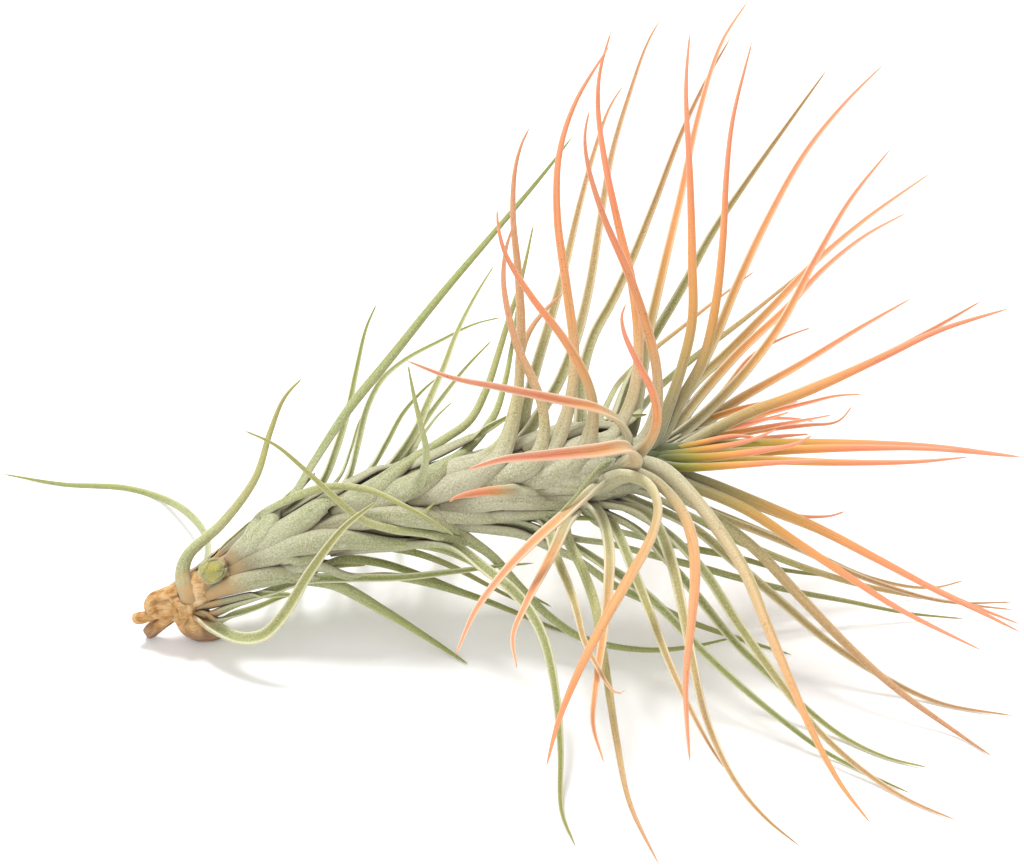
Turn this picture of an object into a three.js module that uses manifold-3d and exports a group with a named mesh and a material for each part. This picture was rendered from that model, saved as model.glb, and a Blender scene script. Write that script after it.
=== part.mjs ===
// A long-stemmed air plant lying on its side. A dry woody foot with two root stumps carries a stem that
// clasping leaf bases cover in a spiral. Needle-shaped, channelled leaves grow from it: green on the lower
// stem, bronze above them, coral at the growing tip. Millimetres, +Z up, +X along the stem to its tip.
import * as THREE from "three";
import { mergeVertices } from "three/addons/utils/BufferGeometryUtils.js";
import Module from "manifold-3d";

const wasm = await Module();
wasm.setup();

// ---- Driving dimensions, in mm ---------------------------------------------------------------------
const PLANT_LENGTH = 150; // from the furthest leaf tip at the foot to the furthest at the growing tip
const BLADE_THICKNESS = 0.8; // of a leaf at its midrib
const NEEDLE_WIDTH = 0.8; // least width of a leaf, near its tip
const STEP_LENGTH = 7; // of a leaf, between the rings of its mesh
const STEP_COUNTS = [5, 9]; // fewest and most of them
const CHANNEL = { root: 0.5, tip: 0.15 }; // height of a blade's edges above its midrib, by half its width
const BROAD_TURN = { over: 0.35, share: 0.8 }; // how soon and how far a blade turns its face to the view
const SHEATH_FLARE = { from: 0.3, to: 0.05, more: 0.7 }; // extra width near the root, by place along it
const TAPER = 0.6; // power of the remaining length that a blade's width follows
const STEM_SIDES = 18;
const STEM_RING_STEP = 1.5;
const LEAF_LIFT = 0.35; // height of a midrib where the leaf lies on the surface
const TOUCH = 0.05; // a tip this close to that height touches the surface
const ROOT_SINK = 5; // how far back inside the stem a leaf starts
const ROOT_INSET = 1.5; // least distance of a root from the end of its part of the stem
const ROOT_DEPTH = 0.35; // where a root lies between the stem's axis and the leaf's first point
const REACH_EASE = 1.25; // how early a leaf turns towards its reach: 1 is evenly along it
const SHEATH_LENGTH = 16; // clasping base of a leaf, along the stem
const SHEATH_PITCH = 2.2; // from one base to the next along the stem
const SHEATH_RISE = 1.3; // step from a base's free end down to the one above it
const SHEATH_HALF_ANGLE = { base: 1.4, end: 0.2 }; // radians round the stem, to each side of its midrib
const PART_GAP = 0.3; // clearance between the parts
const GOLDEN_ANGLE = Math.PI * (3 - Math.sqrt(5));

// ---- The view that the shape was read in -----------------------------------------------------------
// A place is a point [x, y] of the 1024 x 866 view, in its pixels, and how many millimetres nearer the
// eye it lies than the plane across the view through VIEW.target.
const VIEW = {
  plantLength: 1020, // pixels
  centre: [512, 433],
  distance: 500,
  elevation: THREE.MathUtils.degToRad(40),
  target: new THREE.Vector3(2.25, 25.3, 15),
};
const PIXELS_PER_MM = VIEW.plantLength / PLANT_LENGTH;
const RIGHT = new THREE.Vector3(1, 0, 0);
const UPWARD = new THREE.Vector3(0, Math.sin(VIEW.elevation), Math.cos(VIEW.elevation));
const TOWARD = new THREE.Vector3(0, -Math.cos(VIEW.elevation), Math.sin(VIEW.elevation));

// The point `toward` mm in front of the target's plane, on the sight line through a point of the view.
function place([x, y], toward) {
  const scale = (VIEW.distance - toward) / (VIEW.distance * PIXELS_PER_MM);
  return VIEW.target
    .clone()
    .addScaledVector(RIGHT, (x - VIEW.centre[0]) * scale)
    .addScaledVector(UPWARD, (VIEW.centre[1] - y) * scale)
    .addScaledVector(TOWARD, toward);
}

// The view point and the nearness of a point in space.
function seen(point) {
  const offset = point.clone().sub(VIEW.target);
  const toward = offset.dot(TOWARD);
  const scale = (VIEW.distance * PIXELS_PER_MM) / (VIEW.distance - toward);
  const at = [VIEW.centre[0] + offset.dot(RIGHT) * scale, VIEW.centre[1] - offset.dot(UPWARD) * scale];
  return { at, toward };
}

// The place on the same sight line that lies at a given height.
function atHeight(at, height) {
  const slope = (VIEW.centre[1] - at[1]) / (VIEW.distance * PIXELS_PER_MM);
  const rise = height - VIEW.target.z - UPWARD.z * slope * VIEW.distance;
  return place(at, rise / (TOWARD.z - UPWARD.z * slope));
}

// ---- The stem's axis and radius, from the foot to the growing tip -----------------------------------
const STEM = [
  { at: [150, 612], toward: 15.5, radius: 1.8 },
  { at: [200, 588], toward: 16.5, radius: 2.6 },
  { at: [250, 561], toward: 17.5, radius: 3.6 },
  { at: [300, 537], toward: 18.3, radius: 4.4 },
  { at: [350, 519], toward: 19.0, radius: 4.9 },
  { at: [400, 505], toward: 19.8, radius: 5.3 },
  { at: [450, 491], toward: 20.6, radius: 5.5 },
  { at: [500, 479], toward: 21.5, radius: 5.6 },
  { at: [550, 469], toward: 22.5, radius: 5.3 },
  { at: [600, 461], toward: 23.5, radius: 4.8 },
  { at: [640, 456], toward: 24.3, radius: 3.6 },
  { at: [664, 454], toward: 24.8, radius: 1.6 },
];
// The parts of the stem, as distances along it from its first point.
const GREEN_START = 8;
const BRONZE_START = 50;
const CORAL_START = 64;

// ---- Leaves, from root to tip ----------------------------------------------------------------------
// reach: how far the tip comes towards the eye from the stem's axis, negative where it grows away.
// width: across the blade where it leaves its sheath. The rest are the x and y of its points in the view.
function leaf(reach, width, ...points) {
  const path = [];
  for (let i = 0; i < points.length; i += 2) path.push([points[i], points[i + 1]]);
  return { reach, width, path };
}
const GREEN_LEAVES = [
  leaf(-60, 1.8, 203, 572, 207, 552, 203, 533, 180, 508, 130, 489, 60, 484, 2, 474),
  leaf(5, 1.9, 186, 588, 181, 572, 188, 555, 222, 523, 255, 478, 270, 432, 284, 398, 303, 377),
  leaf(14, 1.9, 196, 614, 215, 632, 240, 641, 265, 636, 285, 615, 312, 570, 345, 527, 379, 500),
  leaf(14, 1.7, 248, 528, 285, 500, 330, 487, 370, 491, 400, 504, 430, 520, 456, 537),
  leaf(14, 1.6, 462, 538, 430, 534, 395, 530, 362, 520, 335, 498, 305, 470, 275, 445, 243, 430),
  leaf(-3, 2.3, 232, 588, 262, 578, 300, 576, 340, 588, 385, 611, 430, 639, 468, 664),
  leaf(4, 2.0, 203, 612, 235, 606, 270, 593, 305, 580, 345, 578, 400, 577, 450, 572, 490, 567, 535, 563),
  leaf(-10, 1.7, 285, 560, 325, 549, 370, 547, 410, 552, 450, 566, 500, 592, 540, 612),
  leaf(-8, 1.7, 300, 572, 340, 561, 375, 562, 410, 571, 460, 590, 520, 612),
  leaf(-4, 1.7, 370, 540, 410, 544, 445, 550, 480, 566, 520, 590, 552, 607),
  leaf(18, 2.2, 420, 540, 452, 548, 485, 570, 520, 598, 543, 635, 556, 690, 561, 750, 562, 812, 576, 847),
  leaf(-3, 1.7, 455, 530, 490, 556, 520, 588, 550, 617, 582, 638, 612, 646, 650, 650, 690, 647, 740, 636),
  leaf(-10, 1.7, 345, 572, 385, 577, 425, 582, 480, 598, 520, 614, 560, 630, 590, 637),
  leaf(-12, 1.7, 540, 535, 575, 562, 610, 584, 650, 603, 690, 622, 740, 639, 792, 655),
  leaf(10, 1.9, 520, 520, 565, 543, 605, 567, 640, 590, 670, 617, 700, 648, 740, 685, 780, 718, 820, 748,
    860, 770, 912, 794),
  leaf(5, 1.9, 600, 508, 635, 530, 665, 560, 697, 597, 735, 643, 785, 690, 840, 735, 885, 757, 930, 768),
  leaf(-14, 1.6, 560, 530, 610, 545, 655, 557, 700, 568, 740, 579, 790, 591, 850, 602,
    905, 613, 965, 619),
  leaf(-15, 1.5, 600, 520, 650, 540, 700, 550, 740, 558, 780, 569, 830, 576, 850, 578),
  leaf(-18, 1.7, 300, 512, 322, 480, 335, 450, 347, 412, 356, 370, 366, 328, 377, 303),
  leaf(-2, 2.1, 262, 535, 285, 503, 310, 465, 345, 412, 390, 357, 440, 295, 500, 225, 548, 168, 575, 133),
  leaf(-35, 1.4, 330, 505, 347, 478, 357, 445, 367, 408, 382, 380, 405, 360, 440, 341,
    475, 324, 503, 317),
  leaf(-30, 1.2, 318, 500, 338, 478, 350, 450, 358, 425, 370, 400),
  leaf(-25, 1.5, 350, 490, 368, 470, 385, 444, 402, 414, 421, 392, 440, 375),
  leaf(-22, 1.7, 372, 485, 395, 458, 414, 433, 428, 403, 443, 370, 457, 333, 475, 297, 495, 264),
  leaf(-32, 1.4, 390, 480, 405, 455, 425, 420, 445, 393, 467, 366, 492, 340),
  leaf(-38, 1.2, 400, 470, 420, 438, 437, 416, 452, 402),
  leaf(30, 1.5, 417, 487, 424, 465, 425, 448, 419, 420, 413, 392, 408, 365),
  leaf(-12, 1.7, 385, 482, 412, 458, 445, 438, 470, 420, 487, 388, 498, 355, 508, 322,
    520, 285, 534, 222),
  leaf(-14, 1.7, 440, 470, 470, 446, 495, 415, 506, 380, 512, 348, 516, 318, 519, 290),
];
const BRONZE_LEAVES = [
  leaf(-5, 2.0, 480, 462, 503, 440, 513, 410, 519, 380, 522, 350, 531, 328, 546, 309, 564, 292),
  leaf(6, 1.9, 497, 462, 508, 437, 517, 400, 520, 360, 521, 320, 518, 270, 513, 215, 515, 170,
    522, 143, 531, 125),
  leaf(10, 1.9, 533, 465, 543, 437, 542, 408, 532, 380, 518, 350, 508, 315, 503, 280, 506, 248, 516, 218),
  leaf(-12, 2.0, 515, 450, 525, 405, 538, 360, 552, 315, 566, 265, 580, 205, 595, 150, 610, 107, 625, 83),
  leaf(-8, 2.0, 545, 447, 556, 405, 568, 365, 579, 330, 590, 285, 600, 225, 612, 155, 630, 93,
    648, 42, 662, 17),
  leaf(-15, 2.0, 575, 440, 580, 380, 592, 337, 612, 300, 632, 257, 655, 200, 680, 135, 705, 82, 732, 35),
  leaf(-18, 2.0, 605, 432, 625, 385, 650, 340, 680, 290, 712, 232, 745, 183, 785, 127, 828, 68),
  leaf(-40, 1.3, 590, 430, 620, 380, 655, 348, 682, 327, 712, 303, 756, 270),
  leaf(-30, 1.6, 620, 430, 660, 385, 700, 352, 740, 322, 780, 290, 818, 258),
  leaf(-14, 1.5, 640, 470, 680, 498, 715, 515, 760, 532, 805, 551, 850, 572, 900, 590,
    950, 602, 1015, 602),
  leaf(-16, 1.6, 630, 485, 690, 517, 730, 538, 770, 555, 810, 570, 860, 585, 920, 597,
    970, 605, 1015, 610),
  leaf(-20, 1.5, 640, 480, 720, 515, 800, 548, 870, 578, 930, 588, 966, 580),
  leaf(-2, 1.9, 610, 490, 640, 505, 690, 527, 735, 563, 780, 601, 830, 643, 880, 675,
    940, 703, 1015, 716),
  leaf(3, 2.2, 640, 480, 675, 495, 715, 520, 755, 550, 800, 597, 850, 648, 900, 692, 950, 728, 993, 757),
  leaf(12, 2.0, 615, 500, 660, 530, 700, 568, 740, 627, 780, 682, 820, 732, 860, 768, 905, 798, 958, 821),
  leaf(38, 2.1, 600, 500, 648, 517, 670, 558, 682, 605, 693, 660, 708, 722, 735, 780, 765, 817, 802, 848),
  leaf(34, 2.1, 556, 505, 566, 540, 580, 568, 593, 602, 600, 640, 608, 690, 616, 740, 630, 805, 660, 867),
  leaf(30, 1.8, 540, 515, 556, 558, 568, 585, 577, 612, 584, 640, 598, 668, 611, 689, 619, 694, 626, 689),
];
const CORAL_LEAVES = [
  leaf(5, 2.3, 612, 438, 628, 405, 636, 375, 638, 335, 632, 282, 618, 222, 604, 155, 598, 105,
    600, 72, 612, 28),
  leaf(8, 2.3, 552, 452, 564, 420, 572, 385, 574, 350, 566, 285, 557, 215, 559, 155, 575, 103, 611, 43),
  leaf(22, 2.3, 640, 445, 655, 410, 656, 370, 648, 332, 630, 277, 604, 217, 588, 165, 585, 135, 590, 107),
  leaf(35, 2.3, 628, 458, 647, 443, 656, 420, 652, 393, 637, 362, 624, 332, 622, 315, 627, 302),
  leaf(18, 2.3, 583, 455, 591, 428, 592, 403, 583, 373, 562, 337, 530, 295, 505, 253, 498, 225, 497, 207),
  leaf(6, 2.3, 650, 447, 668, 405, 682, 365, 692, 320, 692, 260, 690, 180, 686, 85, 690, 30),
  leaf(-10, 2.3, 625, 440, 640, 382, 648, 335, 662, 275, 680, 200, 700, 110, 722, 42, 750, -2),
  leaf(2, 2.3, 655, 447, 680, 400, 704, 357, 717, 300, 724, 235, 727, 175, 733, 120, 753, 38),
  leaf(-8, 2.3, 652, 450, 685, 395, 712, 345, 735, 290, 765, 225, 805, 153, 845, 103, 885, 63),
  leaf(-4, 2.3, 660, 450, 705, 413, 745, 372, 780, 325, 815, 260, 850, 200, 892, 147),
  leaf(-10, 2.3, 655, 452, 700, 396, 740, 352, 785, 310, 825, 268, 865, 236, 908, 212),
  leaf(-16, 2.3, 650, 448, 690, 388, 725, 355, 770, 310, 815, 263, 865, 220, 932, 172),
  leaf(-25, 1.4, 660, 452, 715, 400, 750, 357, 780, 339, 812, 327),
  leaf(-20, 2.3, 665, 450, 735, 402, 800, 365, 860, 328, 912, 298),
  leaf(-2, 2.3, 665, 455, 730, 422, 800, 392, 870, 362, 925, 333, 983, 300),
  leaf(8, 2.3, 668, 458, 740, 417, 810, 390, 880, 358, 940, 330, 1010, 308),
  leaf(10, 2.8, 655, 468, 700, 482, 760, 504, 820, 529, 880, 560, 940, 592, 985, 614, 1022, 633),
  leaf(2, 2.2, 650, 466, 700, 486, 765, 508, 830, 534, 900, 571, 960, 600, 1022, 625),
  leaf(14, 2.2, 648, 470, 690, 487, 745, 509, 800, 544, 850, 577, 900, 609, 983, 651),
  leaf(32, 3.0, 632, 463, 660, 470, 690, 495, 720, 533, 745, 572, 765, 620, 790, 680, 815, 737,
    840, 783, 872, 825),
  leaf(40, 2.8, 622, 472, 650, 481, 675, 503, 689, 530, 695, 570, 692, 620, 686, 680, 687, 720, 690, 763),
  leaf(30, 2.2, 580, 498, 598, 515, 608, 545, 608, 590, 603, 635, 595, 690, 593, 725, 604, 763),
  leaf(38, 3.0, 590, 487, 625, 478, 648, 487, 656, 507, 650, 535, 628, 577, 603, 622, 578, 672,
    558, 722, 546, 768),
  leaf(38, 2.3, 606, 482, 585, 499, 560, 520, 530, 546, 500, 578, 475, 612, 455, 657),
  leaf(36, 2.2, 572, 505, 566, 525, 556, 548, 541, 577, 525, 607, 513, 638, 517, 668),
  leaf(40, 2.4, 615, 468, 633, 460, 628, 450, 590, 452, 540, 456, 500, 460, 466, 470),
  leaf(30, 2.0, 625, 443, 620, 425, 600, 411, 560, 400, 500, 387, 450, 377, 405, 360),
  leaf(20, 2.0, 517, 490, 485, 492, 455, 498, 449, 502),
];
const HEART_LEAVES = [
  leaf(-5, 1.2, 660, 452, 700, 432, 750, 417, 800, 403, 835, 396, 863, 394),
  leaf(0, 1.2, 662, 455, 700, 440, 745, 431, 790, 423, 832, 415),
  leaf(-6, 1.2, 662, 456, 710, 440, 760, 430, 805, 425, 838, 421, 853, 405),
  leaf(-10, 1.2, 660, 453, 710, 430, 755, 420, 795, 419, 815, 422),
  leaf(4, 1.2, 662, 457, 700, 444, 735, 436, 760, 438),
  leaf(8, 1.2, 664, 458, 715, 452, 750, 441, 777, 429),
  leaf(12, 1.2, 664, 460, 720, 455, 765, 450, 795, 444, 813, 435),
  leaf(5, 2.0, 664, 458, 710, 451, 765, 446, 840, 444, 930, 447, 1022, 457),
  leaf(10, 1.6, 664, 460, 740, 450, 820, 449, 900, 448, 960, 450),
  leaf(14, 1.2, 662, 463, 700, 463, 760, 461, 840, 463, 915, 462, 970, 457),
  leaf(0, 1.2, 660, 466, 700, 480, 750, 500, 790, 515, 830, 516, 846, 511),
];
// Leaves on the far side of the stem arch back and down behind it to the surface.
// Their roots are `step` pixels apart along the view from `first`, and each runs on for `run` pixels.
const FAR_LEAVES = {
  count: 13,
  first: 245,
  step: 27,
  run: [70, 150],
  reach: [-28, -54],
  width: [1.5, 2.1],
  sway: 22,
};

// ---- Small tools -----------------------------------------------------------------------------------
// Repeatable draws from 0 to 1.
function seededDraws(seed) {
  let state = seed;
  return () => {
    state = (state * 1664525 + 1013904223) % 4294967296;
    return state / 4294967296;
  };
}

function smooth(edge0, edge1, x) {
  const t = Math.min(Math.max((x - edge0) / (edge1 - edge0), 0), 1);
  return t * t * (3 - 2 * t);
}

// A closed mesh from rings of equally many points, each ring closed by a fan to its own end point.
function skin(rings, startPoint, endPoint) {
  const sides = rings[0].length;
  const points = [startPoint, ...rings.flat(), endPoint];
  const last = points.length - 1;
  const index = [];
  for (let i = 0; i < sides; i++) {
    const next = (i + 1) % sides;
    index.push(0, 1 + i, 1 + next);
    for (let ring = 0; ring < rings.length - 1; ring++) {
      const a = 1 + ring * sides + i;
      const b = 1 + ring * sides + next;
      index.push(a, a + sides, b, b, a + sides, b + sides);
    }
    index.push(last - sides + i, last, last - sides + next);
  }
  const geometry = new THREE.BufferGeometry().setFromPoints(points);
  geometry.setIndex(index);
  return geometry;
}

function toSolid(geometry) {
  const bare = geometry.clone();
  bare.deleteAttribute("normal");
  bare.deleteAttribute("uv");
  const merged = mergeVertices(bare, 1e-4);
  const vertProperties = new Float32Array(merged.attributes.position.array);
  const triVerts = new Uint32Array(merged.index.array);
  return new wasm.Manifold(new wasm.Mesh({ numProp: 3, vertProperties, triVerts }));
}

function joined(solids) {
  return solids.reduce((whole, solid) => whole.add(solid));
}

// The largest body of a solid that cutting has left in pieces.
function mainBody(solid) {
  return solid.decompose().reduce((best, body) => (body.volume() > best.volume() ? body : best));
}

// ---- Stem ------------------------------------------------------------------------------------------
const stemPoints = STEM.map(({ at, toward }) => place(at, toward));
const stemCurve = new THREE.CatmullRomCurve3(stemPoints, false, "centripetal");
const STEM_LENGTH = stemCurve.getLength();
const STEM_STATIONS = 90;
const stemStations = [];
for (let i = 0; i <= STEM_STATIONS; i++) {
  const along = i / STEM_STATIONS;
  const point = stemCurve.getPointAt(along);
  const tangent = stemCurve.getTangentAt(along);
  const knot = stemCurve.getUtoTmapping(along) * (STEM.length - 1);
  const before = Math.min(Math.floor(knot), STEM.length - 2);
  const radius = THREE.MathUtils.lerp(STEM[before].radius, STEM[before + 1].radius, knot - before);
  const top = new THREE.Vector3(0, 0, 1).addScaledVector(tangent, -tangent.z).normalize();
  const side = new THREE.Vector3().crossVectors(top, tangent);
  stemStations.push({ distance: along * STEM_LENGTH, point, tangent, radius, top, side, ...seen(point) });
}

// The smaller angle between two directions round the stem.
function angleBetween(a, b) {
  return Math.abs(THREE.MathUtils.euclideanModulo(a - b + Math.PI, 2 * Math.PI) - Math.PI);
}

// How far the spiral of clasping bases stands out of the stem. Each base starts flush, rises to its free
// end and narrows towards it, and the highest one shows.
function sheathRise(distance, angle) {
  let rise = 0;
  const newest = Math.floor(distance / SHEATH_PITCH);
  const oldest = Math.ceil((distance - SHEATH_LENGTH) / SHEATH_PITCH);
  for (let k = oldest; k <= newest; k++) {
    const along = (distance - k * SHEATH_PITCH) / SHEATH_LENGTH;
    const turn = angleBetween(angle, k * GOLDEN_ANGLE);
    const halfAngle = THREE.MathUtils.lerp(SHEATH_HALF_ANGLE.base, SHEATH_HALF_ANGLE.end, along * along);
    if (turn < halfAngle) rise = Math.max(rise, SHEATH_RISE * along * (1 - (turn / halfAngle) ** 2));
  }
  return rise;
}

// A length of the stem. `swell` widens it all round, and lengthens it, for cutting clearance.
function stemSolid(from, to, swell = 0) {
  const start = from - swell;
  const end = to + swell;
  const count = Math.max(2, Math.round((end - start) / STEM_RING_STEP));
  const rings = [];
  const ends = [];
  for (let i = 0; i <= count; i++) {
    const distance = start + ((end - start) * i) / count;
    const station = stationAt(distance);
    const ring = [];
    for (let j = 0; j < STEM_SIDES; j++) {
      const angle = (2 * Math.PI * j) / STEM_SIDES;
      const radius = station.radius + sheathRise(distance, angle) + swell;
      ring.push(aroundStem(station, angle, radius));
    }
    rings.push(ring);
    if (i === 0 || i === count) ends.push(station.point);
  }
  return toSolid(skin(rings, ends[0], ends[1]));
}

function aroundStem(station, angle, radius) {
  return station.point
    .clone()
    .addScaledVector(station.top, radius * Math.cos(angle))
    .addScaledVector(station.side, radius * Math.sin(angle));
}

function stationAt(distance) {
  const position = THREE.MathUtils.clamp(distance / STEM_LENGTH, 0, 1) * STEM_STATIONS;
  const before = Math.min(Math.floor(position), STEM_STATIONS - 1);
  const [a, b] = [stemStations[before], stemStations[before + 1]];
  const t = position - before;
  return {
    point: a.point.clone().lerp(b.point, t),
    radius: THREE.MathUtils.lerp(a.radius, b.radius, t),
    top: a.top.clone().lerp(b.top, t).normalize(),
    side: a.side.clone().lerp(b.side, t).normalize(),
    tangent: a.tangent.clone().lerp(b.tangent, t).normalize(),
  };
}

// ---- Leaves ----------------------------------------------------------------------------------------
// Where a leaf leaves the stem: the nearest station in the view, and the leaf's first point on the near
// or far half of the stem there.
function leafSeat({ reach, path }) {
  const distanceTo = ({ at }) => Math.hypot(at[0] - path[0][0], at[1] - path[0][1]);
  const station = stemStations.reduce((best, next) => (distanceTo(next) < distanceTo(best) ? next : best));
  const offset = Math.min(distanceTo(station) / PIXELS_PER_MM / station.radius, 1);
  const depth = Math.sign(reach || 1) * station.radius * Math.sqrt(1 - offset * offset);
  return { station, startToward: station.toward + depth, endToward: station.toward + reach };
}

// The midrib: sunk in the stem at its start, then through the leaf's points, each nearer its reach.
function midrib(row, partStart) {
  const { station, startToward, endToward } = leafSeat(row);
  const lengths = [0];
  row.path.slice(1).forEach(([x, y], i) => {
    lengths.push(lengths[i] + Math.hypot(x - row.path[i][0], y - row.path[i][1]));
  });
  const points = row.path.map((at, i) => {
    const along = lengths[i] / lengths.at(-1);
    const eased = 1 - (1 - along) ** REACH_EASE;
    return place(at, THREE.MathUtils.lerp(startToward, endToward, eased));
  });
  const rootDistance = Math.max(station.distance - ROOT_SINK, partStart + ROOT_INSET);
  const root = stationAt(rootDistance).point.lerp(points[0], ROOT_DEPTH);
  const curve = new THREE.CatmullRomCurve3([root, ...points], false, "centripetal");
  const steps = THREE.MathUtils.clamp(Math.round(curve.getLength() / STEP_LENGTH), ...STEP_COUNTS);
  const laid = (point) => (point.z < LEAF_LIFT ? atHeight(seen(point).at, LEAF_LIFT) : point);
  const line = curve.getSpacedPoints(steps).map(laid);
  const outward = points[0].clone().sub(station.point);
  const across = new THREE.Vector3().crossVectors(outward, station.tangent).normalize();
  return { line, across };
}

// A channelled blade along its midrib, with a four-cornered section: two raised edges, keel and channel.
// It starts across the stem, then turns its broad side to the view.
function leafSolid(row, partStart, swell = 0) {
  const { line, across } = midrib(row, partStart);
  const steps = line.length - 1;
  const rings = [];
  let side = across;
  for (let i = 0; i < steps; i++) {
    const along = i / steps;
    const tangent = line[i + 1].clone().sub(line[Math.max(i - 1, 0)]).normalize();
    side = side.clone().addScaledVector(tangent, -side.dot(tangent)).normalize();
    const facing = new THREE.Vector3().crossVectors(tangent, TOWARD);
    const turned = smooth(0, BROAD_TURN.over, along) * BROAD_TURN.share;
    if (facing.dot(side) < 0) facing.negate();
    side.multiplyScalar(1 - turned * facing.length()).addScaledVector(facing, turned).normalize();
    const inner = new THREE.Vector3().crossVectors(side, tangent);
    const half = leafHalfWidth(row, along) + swell;
    const edge = half * THREE.MathUtils.lerp(CHANNEL.root, CHANNEL.tip, along);
    const keel = BLADE_THICKNESS / 2;
    const corner = (s, n) => {
      const point = line[i].clone().addScaledVector(side, s).addScaledVector(inner, n);
      point.z = Math.max(point.z, 0);
      return point;
    };
    rings.push([
      corner(-half, edge),
      corner(0, -keel - swell),
      corner(half, edge),
      corner(0, BLADE_THICKNESS - keel + swell),
    ]);
  }
  const tip = line[steps].clone();
  if (tip.z < LEAF_LIFT + TOUCH) tip.z = 0;
  return toSolid(skin(rings, line[0], tip));
}

function leafHalfWidth({ width }, along) {
  const flare = 1 + SHEATH_FLARE.more * (1 - smooth(SHEATH_FLARE.to, SHEATH_FLARE.from, along));
  return Math.max(NEEDLE_WIDTH, width * flare * (1 - along) ** TAPER) / 2;
}

// Leaves of the far side, hidden by the stem in the view: evenly spaced roots, the rest a seeded draw.
function farLeaves() {
  const draw = seededDraws(11);
  const between = ([low, high]) => low + (high - low) * draw();
  return Array.from({ length: FAR_LEAVES.count }, (_, i) => {
    const start = FAR_LEAVES.first + FAR_LEAVES.step * (i + draw() * 0.6);
    const run = between(FAR_LEAVES.run);
    const points = [0, 1, 2, 3].flatMap((step) => {
      const x = start + (run * step) / 3;
      return [x, stemHeightAt(x) + (draw() - 0.5) * FAR_LEAVES.sway];
    });
    return leaf(between(FAR_LEAVES.reach), between(FAR_LEAVES.width), ...points);
  });
}

// The y of the stem's axis in the view at a given x.
function stemHeightAt(x) {
  const nearer = (best, next) => (Math.abs(next.at[0] - x) < Math.abs(best.at[0] - x) ? next : best);
  return stemStations.reduce(nearer).at[1];
}

// ---- Dry foot and offset bud -----------------------------------------------------------------------
// The woody end of the stem, its lower root stump and the lump that it rests on, as rounded lengths
// through places with their radius.
const FOOT_AXIS = [
  { point: place([134, 619], 14.3), radius: 0.7 },
  { point: place([139, 618], 14.6), radius: 1.1 },
  { point: place([149, 612], 15.3), radius: 1.5 },
  { point: place([155, 608], 15.6), radius: 2.3 },
  { point: place([168, 602], 15.9), radius: 2.6 },
  { point: place([180, 597], 16.1), radius: 2.5 },
  { point: place([192, 592], 16.4), radius: 3.0 },
  { point: place([206, 585], 16.8), radius: 3.9 },
];
const ROOT_STUMP = [
  { point: atHeight([146, 635], 0.7), radius: 0.7 },
  { point: atHeight([151, 631], 1.4), radius: 1.2 },
  { point: atHeight([163, 621], 3.6), radius: 1.3 },
  { point: place([176, 606], 16.0), radius: 1.7 },
];
const REST_LUMP = [
  { point: place([190, 598], 16.2), radius: 2.2 },
  { point: atHeight([190, 612], 3.2), radius: 2.8 },
  { point: atHeight([191, 622], 1.2), radius: 3.0 },
  { point: atHeight([191, 632], -1.2), radius: 2.4 },
];
const PIT = { at: [186, 594], radius: 0.8, depth: 2.2 };
const DRY_SCALES = [
  leaf(5, 3.4, 186, 602, 194, 621, 205, 641),
  leaf(-2, 3.2, 184, 607, 183, 626, 187, 643),
  leaf(4, 3.0, 192, 590, 182, 575, 181, 559),
  leaf(-1, 2.6, 203, 580, 210, 566, 217, 551),
];
const BUD = { at: [213, 570], toward: 3.0, radii: [1.5, 1.5, 2.1] };

// Rough rings round a line of places, the radius shaken by a seeded draw. `up` starts each ring.
function roughLength(stations, sides, draw, up = new THREE.Vector3(0, 0, 1)) {
  const rings = stations.map(({ point, radius }, i) => {
    const next = stations[Math.min(i + 1, stations.length - 1)].point;
    const tangent = next.clone().sub(stations[Math.max(i - 1, 0)].point).normalize();
    const top = up.clone().addScaledVector(tangent, -up.dot(tangent)).normalize();
    const side = new THREE.Vector3().crossVectors(top, tangent);
    return Array.from({ length: sides }, (_, j) => {
      const angle = (2 * Math.PI * j) / sides;
      return aroundStem({ point, top, side }, angle, radius * (0.88 + 0.24 * draw()));
    });
  });
  return toSolid(skin(rings, stations[0].point, stations.at(-1).point));
}

function ellipsoid(centre, radii, turn) {
  const ball = new THREE.SphereGeometry(1, 12, 8).rotateX(Math.PI / 2).scale(...radii);
  return toSolid(ball.applyQuaternion(turn).translate(...centre.toArray()));
}

// Everything above the surface.
function aboveSurface(solid) {
  const SPAN = 400;
  return solid.subtract(toSolid(new THREE.BoxGeometry(SPAN, SPAN, SPAN).translate(0, 0, -SPAN / 2)));
}

function footSolid(clearOf) {
  const draw = seededDraws(5);
  const near = leafSeat(leaf(1, 1, ...PIT.at));
  const pit = new THREE.ConeGeometry(PIT.radius, PIT.depth, 7).rotateX(Math.PI / 2);
  const pitAxis = new THREE.Quaternion().setFromUnitVectors(new THREE.Vector3(0, 0, -1), TOWARD);
  pit.applyQuaternion(pitAxis).translate(...place(PIT.at, near.startToward - PIT.depth / 4).toArray());
  const whole = joined([
    roughLength(FOOT_AXIS, 10, draw),
    roughLength(ROOT_STUMP, 8, draw),
    roughLength(REST_LUMP, 9, draw, RIGHT),
    ...DRY_SCALES.map((row) => leafSolid(row, 0)),
  ]);
  return aboveSurface(whole.subtract(toSolid(pit)).subtract(clearOf));
}

function budSolid(swell = 0) {
  const { station } = leafSeat(leaf(1, 1, ...BUD.at));
  const along = new THREE.Quaternion().setFromUnitVectors(new THREE.Vector3(0, 0, 1), station.tangent);
  const radii = BUD.radii.map((radius) => radius + swell);
  return ellipsoid(place(BUD.at, station.toward + BUD.toward), radii, along);
}

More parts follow.
